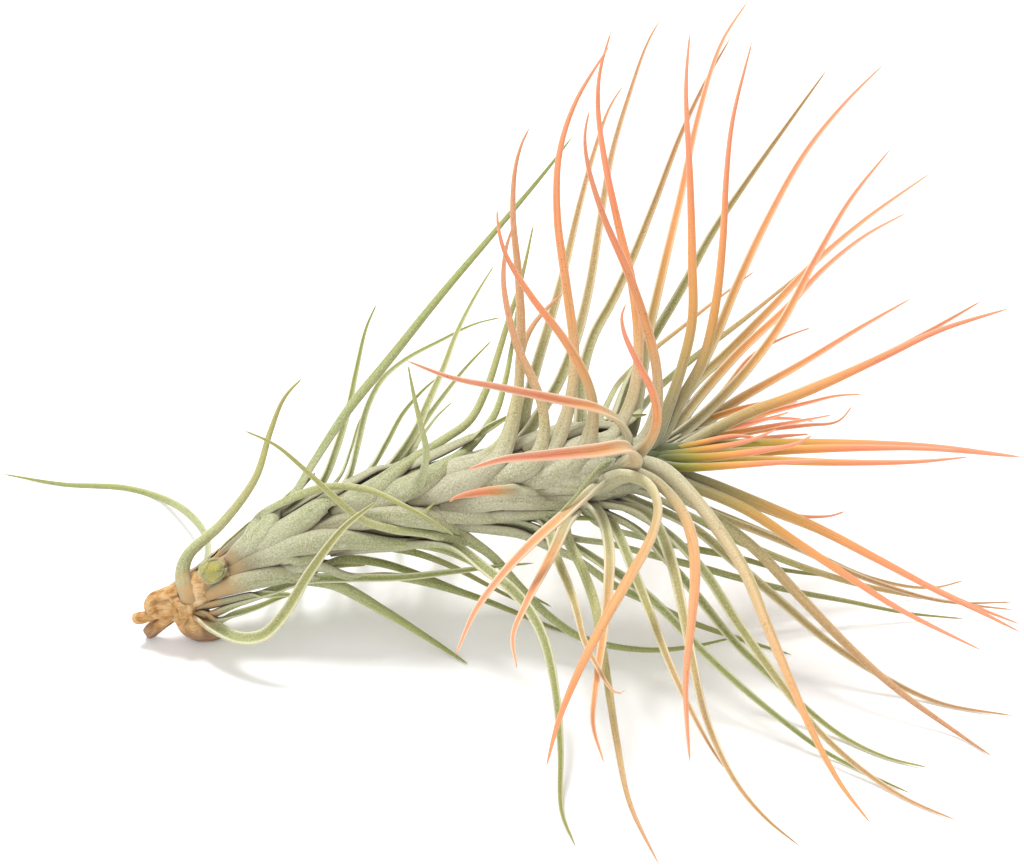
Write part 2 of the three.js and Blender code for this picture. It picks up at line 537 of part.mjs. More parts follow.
// ---- Leafy parts -----------------------------------------------------------------------------------
const PARTS = [
  { name: "green_leafy_stem", from: GREEN_START, to: BRONZE_START, color: 0xb2bd8a },
  { name: "bronze_leafy_stem", from: BRONZE_START, to: CORAL_START, color: 0xc2ab76 },
  { name: "coral_leafy_tip", from: CORAL_START, to: STEM_LENGTH, color: 0xf3a27c },
];
const ALL_LEAVES = [...GREEN_LEAVES, ...BRONZE_LEAVES, ...CORAL_LEAVES, ...HEART_LEAVES, ...farLeaves()];

function leavesOf(part) {
  return ALL_LEAVES.filter((row) => {
    const { distance } = leafSeat(row).station;
    return distance < part.to && (distance >= part.from || part === PARTS[0]);
  });
}

const plant = new THREE.Group();
function addMesh(name, solid, color, roughness) {
  const { vertProperties, triVerts } = mainBody(solid).getMesh();
  const geometry = new THREE.BufferGeometry();
  geometry.setAttribute("position", new THREE.BufferAttribute(vertProperties, 3));
  geometry.setIndex(new THREE.BufferAttribute(triVerts, 1));
  const mesh = new THREE.Mesh(geometry, new THREE.MeshStandardMaterial({ color, roughness, metalness: 0 }));
  mesh.name = name;
  plant.add(mesh);
}

for (const part of PARTS) {
  const stem = stemSolid(part.from, part.to);
  const own = joined([stem, ...leavesOf(part).map((row) => leafSolid(row, part.from))]);
  const others = PARTS.filter((other) => other !== part);
  const trimmed = ({ from, to }) => stemSolid(from + PART_GAP / 2, to - PART_GAP / 2, PART_GAP);
  const clearance = joined(others.map(trimmed));
  addMesh(part.name, own.subtract(clearance), part.color, 0.8);
}

// The foot and the bud keep clear of the green stem and of the leaves that start near them.
const BASAL_REACH = 14;
const [green] = PARTS;
const isBasal = (row) => leafSeat(row).station.distance < GREEN_START + BASAL_REACH;
const greenClearance = joined([
  stemSolid(green.from, green.to, PART_GAP),
  ...leavesOf(green).filter(isBasal).map((row) => leafSolid(row, green.from, PART_GAP)),
]);
addMesh("dry_foot", footSolid(greenClearance.add(budSolid(PART_GAP))), 0xd9ab6d, 0.9);
addMesh("offset_bud", budSolid().subtract(greenClearance), 0xb9be55, 0.85);

export default plant;
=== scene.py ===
"""An air plant lying on its side on a pale floor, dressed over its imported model.

Clasping leaf bases spiral round a stem and turn out into needle-shaped, channelled blades: green low on the
stem, bronze above them, coral at the growing tip. A dry woody foot carries it. Every piece is a surface
worked out with numpy from the same places as the model's, in millimetres, and put into the mesh in metres.
"""
import math

import bpy
import numpy as np
from bpy.props import FloatProperty, FloatVectorProperty, IntProperty, PointerProperty
from bpy.types import Operator, Panel, PropertyGroup
from mathutils import Matrix


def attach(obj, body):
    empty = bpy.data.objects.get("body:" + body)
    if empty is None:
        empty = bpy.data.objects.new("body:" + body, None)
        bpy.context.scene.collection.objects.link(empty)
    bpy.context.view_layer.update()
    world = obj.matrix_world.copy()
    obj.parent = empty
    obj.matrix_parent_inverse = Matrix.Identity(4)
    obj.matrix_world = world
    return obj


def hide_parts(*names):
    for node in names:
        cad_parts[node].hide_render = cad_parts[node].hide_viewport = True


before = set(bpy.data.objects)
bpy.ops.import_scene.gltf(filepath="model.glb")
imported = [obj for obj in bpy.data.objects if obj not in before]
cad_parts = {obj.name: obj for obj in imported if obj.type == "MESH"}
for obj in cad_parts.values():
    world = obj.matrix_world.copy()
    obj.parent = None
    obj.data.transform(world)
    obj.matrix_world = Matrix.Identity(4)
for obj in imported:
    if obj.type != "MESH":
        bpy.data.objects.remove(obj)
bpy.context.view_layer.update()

bl_info = {
    "name": "Air Plant",
    "version": (1, 0, 0),
    "blender": (4, 5, 0),
    "location": "View3D > Sidebar > Air Plant",
    "description": "Leaves, stem, dry foot and stage of a long-stemmed air plant",
    "category": "Add Mesh",
}

BODY = "root"
MM = 0.001

# ---- The view that the shape was read in -----------------------------------------------------------
# A place is a point (x, y) of the 1024 x 866 view, in its pixels, and how many millimetres nearer the
# eye it lies than the plane across the view through TARGET.
VIEW_WIDTH = 1024
SENSOR_WIDTH = 36.0  # mm, of the camera
CENTRE = np.array([512.0, 433.0])
DISTANCE = 500.0
PIXELS_PER_MM = 1020 / 150
ELEVATION = math.radians(40)
TARGET = np.array([2.25, 25.3, 15.0])
RIGHT = np.array([1.0, 0.0, 0.0])
UPWARD = np.array([0.0, math.sin(ELEVATION), math.cos(ELEVATION)])
TOWARD = np.array([0.0, -math.cos(ELEVATION), math.sin(ELEVATION)])

# ---- The stem and its leaves, as in the model ------------------------------------------------------
# x and y in the view, nearness and radius in mm.
STEM = np.array([
    [150, 612, 15.5, 1.8], [200, 588, 16.5, 2.6], [250, 561, 17.5, 3.6], [300, 537, 18.3, 4.4],
    [350, 519, 19.0, 4.9], [400, 505, 19.8, 5.3], [450, 491, 20.6, 5.5], [500, 479, 21.5, 5.6],
    [550, 469, 22.5, 5.3], [600, 461, 23.5, 4.8], [640, 456, 24.3, 3.6], [664, 454, 24.8, 1.6],
])
STEM_STATIONS = 90
# The parts of the stem, as distances along it from its first point, in mm.
GREEN_START = 8
BRONZE_START = 50
CORAL_START = 64

LEAF_LIFT = 0.35  # mm, height of a midrib where the leaf lies on the surface
REACH_EASE = 1.25  # how early a leaf turns towards its reach: 1 is evenly along it
SHEATH_PITCH = 2.2  # mm from one clasping base to the next along the stem
SHEATH_RUN = 16  # mm of stem that a base covers
SHEATH_RISE = 1.3  # mm that its free end stands out
SHEATH_HALF_ANGLES = (1.4, 0.2)  # radians round the stem at its start and end
GOLDEN_ANGLE = math.pi * (3 - math.sqrt(5))
TAPER = 0.5  # power of the remaining length that a blade's width follows
STEM_DOME = 5.0  # mm of stem that close in a dome at its end
FLOOR_GAP = 0.02  # mm, least height of a leaf's or the stem's surface
SHEATH_SINK = 0.4  # mm that a sheath starts inside the stem
ROOT_CLEAR = 2.0  # mm of stem that a hidden sheath leaves free at the foot
LEAST_SHEATH = 3.0  # mm, its least length
FREE_END_LIFT = 0.7  # share of a sheath's rise that its blade's first point gets
RING_SPREAD = 1.15  # power by which a blade's rings crowd towards its root
STEM_STEP = 0.25  # mm from ring to ring of the stem's mesh
STEM_POINTS = 120  # points round it
STEM_SHARE = 0.84  # its radius as a share of the model's
STEM_INSET = 0.3  # mm less, so that the leaf bases cover it
STEM_SWELL = 0.4  # share of the bases' rise that it gets
FACE_TURN = (0.01, 0.16)  # share of a blade's turn to the view in each ring, at its root and further out
DEAD_NEAR = (2.6, 5.6)  # mm from the foot's middle between which leaf tissue goes from dead to living
DEAD_WIDE = (5, 12)  # the same for the stem and the leaf bases on it
BEND_RINGS = 6  # rings on each side that a blade's bend at the surface is spread over
BEND_WIDTH = 2.2  # rings over which their weights fall off
CURL = (1.25, 0.95)  # radians from a blade's midrib to its margin, at its free end and its tip
# Points of a short base from the end of its sheath along the stem, and how far they stand out of it, in mm.
SHORT_BASE = np.array([[-12, -0.4], [-9, 0.0], [-6, 0.4], [-3, 0.8], [0, 1.2], [3, 1.9], [6.5, 3.2]])
SHORT_BASE_END = 4  # its point at which the sheath ends
HIDDEN = 0.25  # a short base is left out where it faces the view by more than this cosine
TIP_FREE = 8  # mm of stem below its tip without short bases
# What a leaf's surface knows of each point: its place along and across the leaf, how near its margin it is,
# whether it is on the hollow face, its leaf's shades, its painted crease shade at a sheath's margins and buried start,
# and how dead it is near the foot.
LEAF_VALUES = ("run", "across", "rim", "channel", "tone", "warmth", "heart", "crease", "dry")


def leaf(reach, width, *points, tone=0.3, ripe=1.0, warmth=0.0, heart=0.0, sheath=(), clasp=0.0):
    """A leaf's reach towards the eye and blade width, in mm, and its points in the view. Warmth goes from
    green (0) over bronze (0.5) to coral (1), heart is 1 for the youngest leaves, and tone goes from the
    first colours of each to the second ones. Ripe is how far along them the tip gets. Sheath is the
    visible course of its clasping base, up to the first point, and clasp that base's width in mm."""
    return {
        "reach": reach, "width": width, "path": np.array(points, float).reshape(-1, 2), "tone": tone,
        "ripe": ripe, "warmth": warmth, "heart": heart, "clasp": clasp,
        "sheath": np.array(sheath, float).reshape(-1, 2),
    }


# One row for each leaf, its root first.
GREEN_LEAVES = [
    leaf(-60, 1.8, 203, 572, 207, 552, 203, 533, 180, 508, 130, 489, 60, 484, 2, 474, tone=0.2),
    leaf(5, 1.9, 186, 586, 182, 572, 188, 555, 222, 523, 255, 478, 270, 432, 284, 398, 303, 377, tone=0.15,
         sheath=(194, 609, 190, 600), clasp=2.4),
    leaf(15, 2.8, 196, 613, 214, 630, 240, 640, 265, 636, 285, 615, 312, 570, 345, 527, 379, 500),
    leaf(14, 1.7, 260, 522, 287, 499, 330, 487, 370, 491, 400, 504, 430, 520, 456, 537, tone=0.45,
         sheath=(225, 560, 236, 547, 248, 535), clasp=3.2),
    leaf(14, 1.6, 462, 538, 430, 534, 395, 530, 362, 520, 335, 498, 305, 470, 275, 445, 243, 430, tone=0.1),
    leaf(-3, 2.3, 300, 577, 340, 588, 385, 611, 430, 639, 468, 664, tone=0.25,
         sheath=(198, 603, 216, 596, 236, 588, 258, 582, 280, 578), clasp=3.4),
    leaf(4, 2.0, 203, 612, 235, 606, 270, 593, 305, 580, 345, 578, 400, 577, 450, 572, 490, 567, 535, 563, tone=0.45),
    leaf(-10, 1.7, 300, 559, 330, 550, 370, 547, 410, 552, 450, 566, 500, 592, 540, 612, tone=0.8,
         sheath=(280, 564, 290, 561), clasp=1.5),
    leaf(-8, 1.7, 300, 572, 340, 561, 375, 562, 410, 571, 460, 590, 520, 612, tone=1),
    leaf(-4, 1.7, 370, 540, 410, 544, 445, 550, 480, 566, 520, 590, 552, 607, tone=0.5,
         sheath=(230, 572, 252, 562, 275, 554, 303, 546, 336, 542), clasp=3.6),
    leaf(18, 2.2, 420, 540, 452, 548, 485, 570, 520, 598, 543, 635, 556, 690, 561, 750, 562, 812, 576, 847),
    leaf(-3, 1.7, 455, 530, 490, 556, 520, 588, 550, 617, 582, 638, 612, 646, 650, 650, 690, 647, 740, 636, tone=0.6,
         sheath=(305, 533, 332, 526, 360, 520, 385, 518, 410, 519, 435, 524), clasp=3.3),
    leaf(-10, 1.7, 345, 572, 385, 577, 425, 582, 480, 598, 520, 614, 560, 630, 590, 637, tone=1),
    leaf(-12, 1.7, 548, 543, 577, 561, 610, 584, 650, 603, 690, 622, 740, 639, 792, 655, tone=0.7,
         sheath=(438, 526, 466, 530, 494, 533, 522, 537), clasp=3.6),
    leaf(10, 1.9, 520, 520, 565, 543, 605, 567, 640, 590, 670, 617, 700, 648, 740, 685, 780, 718, 820, 748, 860, 770,
         912, 794, tone=0.4, sheath=(415, 512, 445, 517, 475, 521, 500, 523), clasp=3.5),
    leaf(5, 1.9, 600, 508, 635, 530, 665, 560, 697, 597, 735, 643, 785, 690, 840, 735, 885, 757, 930, 768, tone=0.5),
    leaf(-14, 1.6, 560, 530, 610, 545, 655, 557, 700, 568, 740, 579, 790, 591, 850, 602, 905, 613, 965, 619, tone=1),
    leaf(-15, 1.5, 600, 520, 650, 540, 700, 550, 740, 558, 780, 569, 830, 576, 850, 578, tone=1),
    leaf(-18, 1.7, 300, 512, 322, 480, 335, 450, 347, 412, 356, 370, 366, 328, 377, 303),
    leaf(-2, 2.1, 275, 514, 290, 497, 310, 465, 345, 412, 390, 357, 440, 295, 500, 225, 548, 168, 575, 133, tone=0.55,
         sheath=(228, 563, 239, 551, 251, 539, 263, 526), clasp=3.6),
    leaf(-35, 1.4, 330, 505, 347, 478, 357, 445, 367, 408, 382, 380, 405, 360, 440, 341, 475, 324, 503, 317),
    leaf(-30, 1.2, 318, 500, 338, 478, 350, 450, 358, 425, 370, 400, tone=0.4),
    leaf(-25, 1.5, 350, 490, 368, 470, 385, 444, 402, 414, 421, 392, 440, 375, tone=0.4),
    leaf(-22, 1.7, 372, 485, 395, 458, 414, 433, 428, 403, 443, 370, 457, 333, 475, 297, 495, 264, tone=0.35),
    leaf(-32, 1.4, 390, 480, 405, 455, 425, 420, 445, 393, 467, 366, 492, 340),
    leaf(-38, 1.2, 400, 470, 420, 438, 437, 416, 452, 402),
    leaf(30, 1.5, 417, 487, 424, 465, 425, 448, 419, 420, 413, 392, 408, 365, tone=0.15,
         sheath=(385, 500, 398, 495, 409, 490), clasp=2.4),
    leaf(-12, 1.7, 385, 482, 412, 458, 445, 438, 470, 420, 487, 388, 498, 355, 508, 322, 520, 285, 534, 222,
         sheath=(330, 508, 348, 500, 367, 491), clasp=4.4),
    leaf(-14, 1.7, 440, 470, 470, 446, 495, 415, 506, 380, 512, 348, 516, 318, 519, 290, tone=0.25,
         sheath=(348, 511, 368, 502, 388, 493, 406, 485, 424, 477), clasp=4.0),
]
BRONZE_LEAVES = [
    leaf(-5, 2.0, 480, 462, 503, 440, 513, 410, 519, 380, 522, 350, 531, 328, 546, 309, 564, 292, tone=0.7,
         sheath=(418, 482, 436, 473, 452, 466, 466, 462), clasp=3.7),
    leaf(6, 1.9, 497, 462, 508, 437, 517, 400, 520, 360, 521, 320, 518, 270, 513, 215, 515, 170, 522, 143, 531, 125,
         tone=0.1, sheath=(408, 502, 425, 495, 445, 486, 468, 476, 486, 466), clasp=4.2),
    leaf(10, 1.9, 533, 465, 543, 437, 542, 408, 532, 380, 518, 350, 508, 315, 503, 280, 506, 248, 516, 218, tone=0.1,
         sheath=(476, 484, 492, 479, 510, 474, 524, 468), clasp=3.7),
    leaf(-12, 2.0, 515, 450, 525, 405, 538, 360, 552, 315, 566, 265, 580, 205, 595, 150, 610, 107, 625, 83, tone=0.5),
    leaf(-8, 2.0, 503, 453, 521, 438, 539, 412, 556, 386, 568, 360, 579, 330, 590, 285, 600, 225, 612, 155, 630, 93,
         648, 42, 662, 17, tone=0.4),
    leaf(-15, 2.0, 575, 440, 580, 380, 592, 337, 612, 300, 632, 257, 655, 200, 680, 135, 705, 82, 732, 35, tone=0.7),
    leaf(-18, 2.0, 605, 432, 625, 385, 650, 340, 680, 290, 712, 232, 745, 183, 785, 127, 828, 68, tone=1),
    leaf(-40, 1.3, 590, 430, 620, 380, 655, 348, 682, 327, 712, 303, 756, 270, tone=0.8),
    leaf(-30, 1.6, 620, 430, 660, 385, 700, 352, 740, 322, 780, 290, 818, 258, tone=0.9),
    leaf(-14, 1.5, 640, 470, 680, 498, 715, 515, 760, 532, 805, 551, 850, 572, 900, 590, 950, 602, 1015, 602,
         tone=0.2),
    leaf(-16, 1.6, 630, 485, 690, 517, 730, 538, 770, 555, 810, 570, 860, 585, 920, 597, 970, 605, 1015, 610,
         tone=0.8),
    leaf(-20, 1.5, 640, 480, 720, 515, 800, 548, 870, 578, 930, 588, 966, 580, tone=1),
    leaf(-2, 1.9, 610, 490, 640, 505, 690, 527, 735, 563, 780, 601, 830, 643, 880, 675, 940, 703, 1015, 716,
         tone=0.5),
    leaf(3, 2.2, 640, 480, 675, 495, 715, 520, 755, 550, 800, 597, 850, 648, 900, 692, 950, 728, 993, 757),
    leaf(12, 2.0, 615, 500, 660, 530, 700, 568, 740, 627, 780, 682, 820, 732, 860, 768, 905, 798, 958, 821, tone=0.9),
    leaf(38, 2.1, 600, 500, 648, 517, 670, 558, 682, 605, 693, 660, 708, 722, 735, 780, 765, 817, 802, 848, tone=0.5),
    leaf(26, 1.9, 598, 507, 616, 534, 635, 576, 652, 618, 668, 660, 685, 698, 706, 739, 724, 768, tone=0.9),
    leaf(34, 2.1, 556, 505, 566, 540, 580, 568, 593, 602, 600, 640, 608, 690, 616, 740, 630, 805, 660, 867, tone=0.9,
         sheath=(440, 509, 470, 507, 503, 503, 530, 505), clasp=3.6),
    leaf(30, 1.8, 540, 515, 556, 558, 568, 585, 577, 612, 584, 640, 598, 668, 611, 689, 619, 694, 626, 689, tone=0.9),
]
CORAL_LEAVES = [
    leaf(5, 1.9, 612, 438, 628, 405, 636, 375, 638, 335, 632, 282, 618, 222, 604, 155, 598, 105, 600, 72, 612, 28,
         tone=0),
    leaf(8, 1.9, 552, 452, 564, 420, 572, 385, 574, 350, 566, 285, 557, 215, 559, 155, 575, 103, 611, 43,
         sheath=(515, 462, 530, 458, 543, 455), clasp=3),
    leaf(22, 1.9, 640, 445, 655, 410, 656, 370, 648, 332, 630, 277, 604, 217, 588, 165, 585, 135, 590, 107, tone=0),
    leaf(35, 1.9, 628, 458, 647, 443, 656, 420, 652, 393, 637, 362, 624, 332, 622, 315, 627, 302, tone=0),
    leaf(18, 1.9, 583, 455, 591, 428, 592, 403, 583, 373, 562, 337, 530, 295, 505, 253, 498, 225, 497, 207,
         sheath=(512, 490, 532, 482, 553, 476, 572, 466), clasp=4.2),
    leaf(6, 1.9, 650, 447, 668, 405, 682, 365, 692, 320, 692, 260, 690, 180, 686, 85, 690, 30, tone=0.1, heart=0.42),
    leaf(-10, 1.9, 625, 440, 640, 382, 648, 335, 662, 275, 680, 200, 700, 110, 722, 42, 750, -2, tone=0.5,
         heart=0.42),
    leaf(2, 1.9, 655, 447, 680, 400, 704, 357, 717, 300, 724, 235, 727, 175, 733, 120, 753, 38, tone=0.1, heart=0.42),
    leaf(-8, 1.9, 652, 450, 685, 395, 712, 345, 735, 290, 765, 225, 805, 153, 845, 103, 885, 63, heart=0.42),
    leaf(-4, 1.9, 660, 450, 705, 413, 745, 372, 780, 325, 815, 260, 850, 200, 892, 147, tone=0, heart=0.42),
    leaf(-10, 1.9, 655, 452, 700, 396, 740, 352, 785, 310, 825, 268, 865, 236, 908, 212, tone=0.1, heart=0.42),
    leaf(-16, 1.9, 650, 448, 690, 388, 725, 355, 770, 310, 815, 263, 865, 220, 932, 172, tone=0.5, heart=0.42),
    leaf(-25, 1.4, 660, 452, 715, 400, 750, 357, 780, 339, 812, 327, tone=0.7, heart=0.42),
    leaf(-20, 1.9, 665, 450, 735, 402, 800, 365, 860, 328, 912, 298, tone=0.5, heart=0.42),
    leaf(-2, 2.1, 665, 455, 730, 422, 800, 392, 870, 362, 925, 333, 983, 300, tone=0.1, heart=0.42),
    leaf(8, 2.1, 668, 458, 740, 417, 810, 390, 880, 358, 940, 330, 1010, 308, tone=0.2, heart=0.42),
    leaf(10, 2.1, 655, 468, 700, 482, 760, 504, 820, 529, 880, 560, 940, 592, 985, 614, 1022, 633, heart=0.5),
    leaf(2, 1.9, 650, 466, 700, 486, 765, 508, 830, 534, 900, 571, 960, 600, 1022, 625, tone=0.6, heart=0.5),
    leaf(14, 2.0, 648, 470, 690, 487, 745, 509, 800, 544, 850, 577, 900, 609, 983, 651, heart=0.6),
    leaf(32, 2.4, 632, 463, 660, 470, 690, 495, 720, 533, 745, 572, 765, 620, 790, 680, 815, 737, 840, 783, 872, 825,
         tone=0.2, ripe=0.42),
    leaf(40, 2.2, 622, 472, 650, 481, 675, 503, 689, 530, 695, 570, 692, 620, 686, 680, 687, 720, 690, 763, tone=0.5),
    leaf(30, 2.1, 580, 498, 598, 515, 608, 545, 608, 590, 603, 635, 595, 690, 593, 725, 604, 763, tone=0.9),
    leaf(38, 2.6, 590, 487, 625, 478, 648, 487, 656, 507, 650, 535, 628, 577, 603, 622, 578, 672, 558, 722, 546, 768,
         tone=0.8, sheath=(524, 483, 542, 484, 560, 485, 576, 486), clasp=4.3),
    leaf(38, 2.3, 606, 480, 601, 486, 585, 499, 560, 520, 530, 546, 500, 578, 475, 612, 455, 657, tone=0.2,
         sheath=(578, 489, 588, 487, 597, 484), clasp=2.2),
    leaf(36, 2.2, 572, 505, 566, 525, 556, 548, 541, 577, 525, 607, 513, 638, 517, 668, tone=0.6),
    leaf(40, 2.9, 615, 468, 633, 460, 628, 450, 590, 452, 540, 456, 500, 460, 466, 470, tone=0,
         sheath=(540, 472, 560, 469, 580, 467, 600, 467), clasp=2.8),
    leaf(30, 2.0, 625, 443, 620, 425, 600, 411, 560, 400, 500, 387, 450, 377, 405, 360, tone=0.1, ripe=1.4),
    leaf(20, 2.0, 517, 490, 485, 492, 455, 498, 449, 502, sheath=(541, 500, 530, 494), clasp=2.0),
]
HEART_LEAVES = [
    leaf(-5, 1.4, 645, 448, 680, 436, 720, 426, 770, 412, 810, 402, 835, 396, 863, 394),
    leaf(-2, 1.5, 648, 452, 690, 441, 745, 431, 790, 423, 832, 415),
    leaf(-6, 1.5, 648, 454, 700, 443, 760, 430, 805, 425, 838, 421, 853, 405),
    leaf(-10, 1.5, 646, 449, 700, 432, 755, 420, 795, 419, 815, 422),
    leaf(4, 1.5, 650, 456, 690, 446, 735, 436, 760, 438),
    leaf(8, 1.6, 650, 458, 700, 450, 750, 440, 777, 429),
    leaf(12, 1.8, 650, 460, 710, 457, 765, 450, 795, 444, 813, 435),
    leaf(5, 2.7, 650, 456, 710, 448, 765, 445, 840, 444, 930, 447, 1022, 457),
    leaf(10, 2.0, 650, 459, 740, 453, 820, 449, 900, 448, 960, 450),
    leaf(14, 1.9, 648, 463, 700, 464, 760, 461, 840, 463, 915, 462, 970, 457),
    leaf(16, 1.6, 648, 465, 690, 468, 740, 465, 790, 462, 830, 460),
    leaf(0, 1.4, 650, 466, 700, 480, 750, 500, 790, 515, 830, 516, 846, 511),
    leaf(2, 1.6, 648, 457, 690, 451, 730, 444, 775, 437, 810, 434),
    leaf(-3, 1.5, 646, 453, 690, 438, 735, 422, 775, 408, 800, 401),
    leaf(-8, 1.6, 646, 446, 690, 426, 735, 410, 775, 400, 815, 385),
    leaf(-3, 1.6, 648, 450, 700, 436, 750, 424, 790, 412),
    leaf(-3, 1.6, 651, 456, 690, 451, 730, 446, 765, 440),
    leaf(-6, 1.7, 650, 460, 690, 457, 730, 450, 772, 443),
    leaf(-9, 1.7, 650, 463, 690, 462, 730, 457, 778, 449),
    leaf(-12, 1.7, 648, 457, 690, 453, 735, 449, 785, 446),
]
# Short leaves and bases that lie on the near side of the stem and add nothing to its outline.
CLOSE_LEAVES = [
    leaf(5.5, 1.6, 325, 505, 350, 502, 375, 506, 402, 514, tone=0.1, sheath=(240, 562, 262, 544, 284, 528, 305, 514),
         clasp=4.1),
    leaf(7.5, 0.8, 417, 520, 425, 512, 434, 503, tone=0.0, sheath=(405, 524, 411, 522), clasp=1.2),
    leaf(15, 0.9, 612, 461, 602, 466, 590, 479, 573, 499, 555, 517, 543, 527, heart=0.12, ripe=0.25,
         sheath=(624, 458, 618, 459), clasp=0.9),
    leaf(1, 1.5, 214, 617, 235, 615, 258, 607, 280, 598, 300, 592, tone=0.2, sheath=(196, 614, 205, 616), clasp=2.6),
]
# Leaves on the far side of the stem arch back and down behind it to the surface.
# Their roots are `step` pixels apart along the view from `first`, and each runs on for `run` pixels.
FAR_LEAVES = {
    "count": 13,
    "first": 245,
    "step": 27,
    "run": (70, 150),
    "reach": (-28, -54),
    "width": (1.5, 2.1),
    "sway": 22,
}


# ---- Small tools -----------------------------------------------------------------------------------
def linear(code):
    """A linear RGBA colour from an sRGB hex code."""
    channels = [int(code[i : i + 2], 16) / 255 for i in (1, 3, 5)]
    return tuple(c / 12.92 if c <= 0.04045 else ((c + 0.055) / 1.055) ** 2.4 for c in channels) + (1.0,)


def smooth(edge0, edge1, x):
    """0 below the first edge, 1 above the second, 3t^2 - 2t^3 between them."""
    t = np.clip((np.asarray(x, float) - edge0) / (edge1 - edge0), 0, 1)
    return t * t * (3 - 2 * t)


def unit(vectors):
    """Each vector divided by its length."""
    return vectors / np.maximum(np.linalg.norm(vectors, axis=-1, keepdims=True), 1e-9)


def dot(a, b):
    """The dot products of two arrays of vectors, kept as a last axis of one."""
    return np.sum(a * b, axis=-1, keepdims=True)


def place(at, toward):
    """The point `toward` mm in front of the target's plane, on the sight line through a view point:
    target + right (x - cx) s + upward (cy - y) s + toward t, where s = (D - t) / (D pixels per mm)."""
    at = np.asarray(at, float)
    toward = np.asarray(toward, float)
    scale = (DISTANCE - toward) / (DISTANCE * PIXELS_PER_MM)
    x = (at[..., 0] - CENTRE[0]) * scale
    y = (CENTRE[1] - at[..., 1]) * scale
    return TARGET + x[..., None] * RIGHT + y[..., None] * UPWARD + toward[..., None] * TOWARD


def seen(points):
    """The view point and the nearness of points in space: the other way round from place."""
    offset = points - TARGET
    toward = offset @ TOWARD
    scale = DISTANCE * PIXELS_PER_MM / (DISTANCE - toward)
    at = np.stack([CENTRE[0] + (offset @ RIGHT) * scale, CENTRE[1] - (offset @ UPWARD) * scale], axis=-1)
    return at, toward


def at_height(at, height):
    """The point of a view point's sight line that lies at a height in mm."""
    at = np.asarray(at, float)
    slope = (CENTRE[1] - at[..., 1]) / (DISTANCE * PIXELS_PER_MM)
    rise = height - TARGET[2] - UPWARD[2] * slope * DISTANCE
    return place(at, rise / (TOWARD[2] - UPWARD[2] * slope))


def curve_through(points, per_span=24):
    """Dense points of the centripetal Catmull-Rom curve through some points, and their knot numbers.
    In a span from p1 to p2 it is the cubic with end slopes m1 and m2, which come from the neighbours
    with knots spaced by the square root of the distance between points."""
    p = np.vstack([2 * points[0] - points[1], points, 2 * points[-1] - points[-2]])
    gap = np.sqrt(np.linalg.norm(np.diff(p, axis=0), axis=1))[:, None]
    d0, d1, d2 = gap[:-2], gap[1:-1], gap[2:]
    p0, p1, p2, p3 = p[:-3], p[1:-2], p[2:-1], p[3:]
    m1 = ((p1 - p0) / d0 - (p2 - p0) / (d0 + d1) + (p2 - p1) / d1) * d1
    m2 = ((p2 - p1) / d1 - (p3 - p1) / (d1 + d2) + (p3 - p2) / d2) * d1
    t = np.linspace(0, 1, per_span, endpoint=False)[:, None, None]
    spans = p1 + m1 * t + (3 * (p2 - p1) - 2 * m1 - m2) * t**2 + (2 * (p1 - p2) + m1 + m2) * t**3
    dense = np.vstack([spans.transpose(1, 0, 2).reshape(-1, points.shape[1]), points[-1]])
    return dense, np.linspace(0, len(points) - 1, len(dense))


def lengths_along(points):
    """The length of a line of points, or of each of several, up to each of its points."""
    steps = np.linalg.norm(np.diff(points, axis=-2), axis=-1)
    return np.concatenate([np.zeros((*steps.shape[:-1], 1)), np.cumsum(steps, axis=-1)], axis=-1)


def read_at(wanted, known, values):
    """Rows of values, read at wanted places between known ones along straight lines."""
    return np.stack([np.interp(wanted, known, column) for column in values.T], axis=-1)


def circle(count):
    """Evenly spaced angles once round."""
    return np.linspace(0, 2 * math.pi, count, endpoint=False)


def around(axis, radius, top, side, angle):
    """A tube's points on a grid of rings and angles: axis + radius (cos(angle) top + sin(angle) side)."""
    turned = np.cos(angle)[None, :, None] * top[:, None] + np.sin(angle)[None, :, None] * side[:, None]
    return axis[:, None] + radius[..., None] * turned


def seeded_draws(seed):
    """The model's own repeatable draws from 0 to 1."""
    state = seed
    while True:
        state = (state * 1664525 + 1013904223) % 4294967296
        yield state / 4294967296


# ---- Stem ------------------------------------------------------------------------------------------
def stem_stations():
    """Evenly spaced stations on the stem: distance, point, tangent, radius, and the top and side
    directions across it. Top is up, less its part along the tangent; side is top x tangent."""
    dense, knots = curve_through(place(STEM[:, :2], STEM[:, 2]), 60)
    lengths = lengths_along(dense)
    distance = np.linspace(0, lengths[-1], STEM_STATIONS + 1)
    point = read_at(distance, lengths, dense)
    tangent = unit(read_at(distance, lengths, np.gradient(dense, axis=0)))
    radius = np.interp(np.interp(distance, lengths, knots), np.arange(len(STEM)), STEM[:, 3])
    top = unit(np.array([0, 0, 1]) - tangent[:, 2:] * tangent)
    return {"distance": distance, "point": point, "tangent": tangent, "radius": radius, "top": top,
            "side": np.cross(top, tangent)}


FOOT_MIDDLE = place([193, 600], 17.0)
STATIONS = stem_stations()
STEM_LENGTH = STATIONS["distance"][-1]
STATION_AT, STATION_TOWARD = seen(STATIONS["point"])


def stem_at(distance):
    """The stations' values, read at distances along the stem."""
    known = STATIONS["distance"]
    found = {key: read_at(distance, known, STATIONS[key]) for key in ("point", "tangent", "top", "side")}
    found["radius"] = np.interp(distance, known, STATIONS["radius"])
    return found


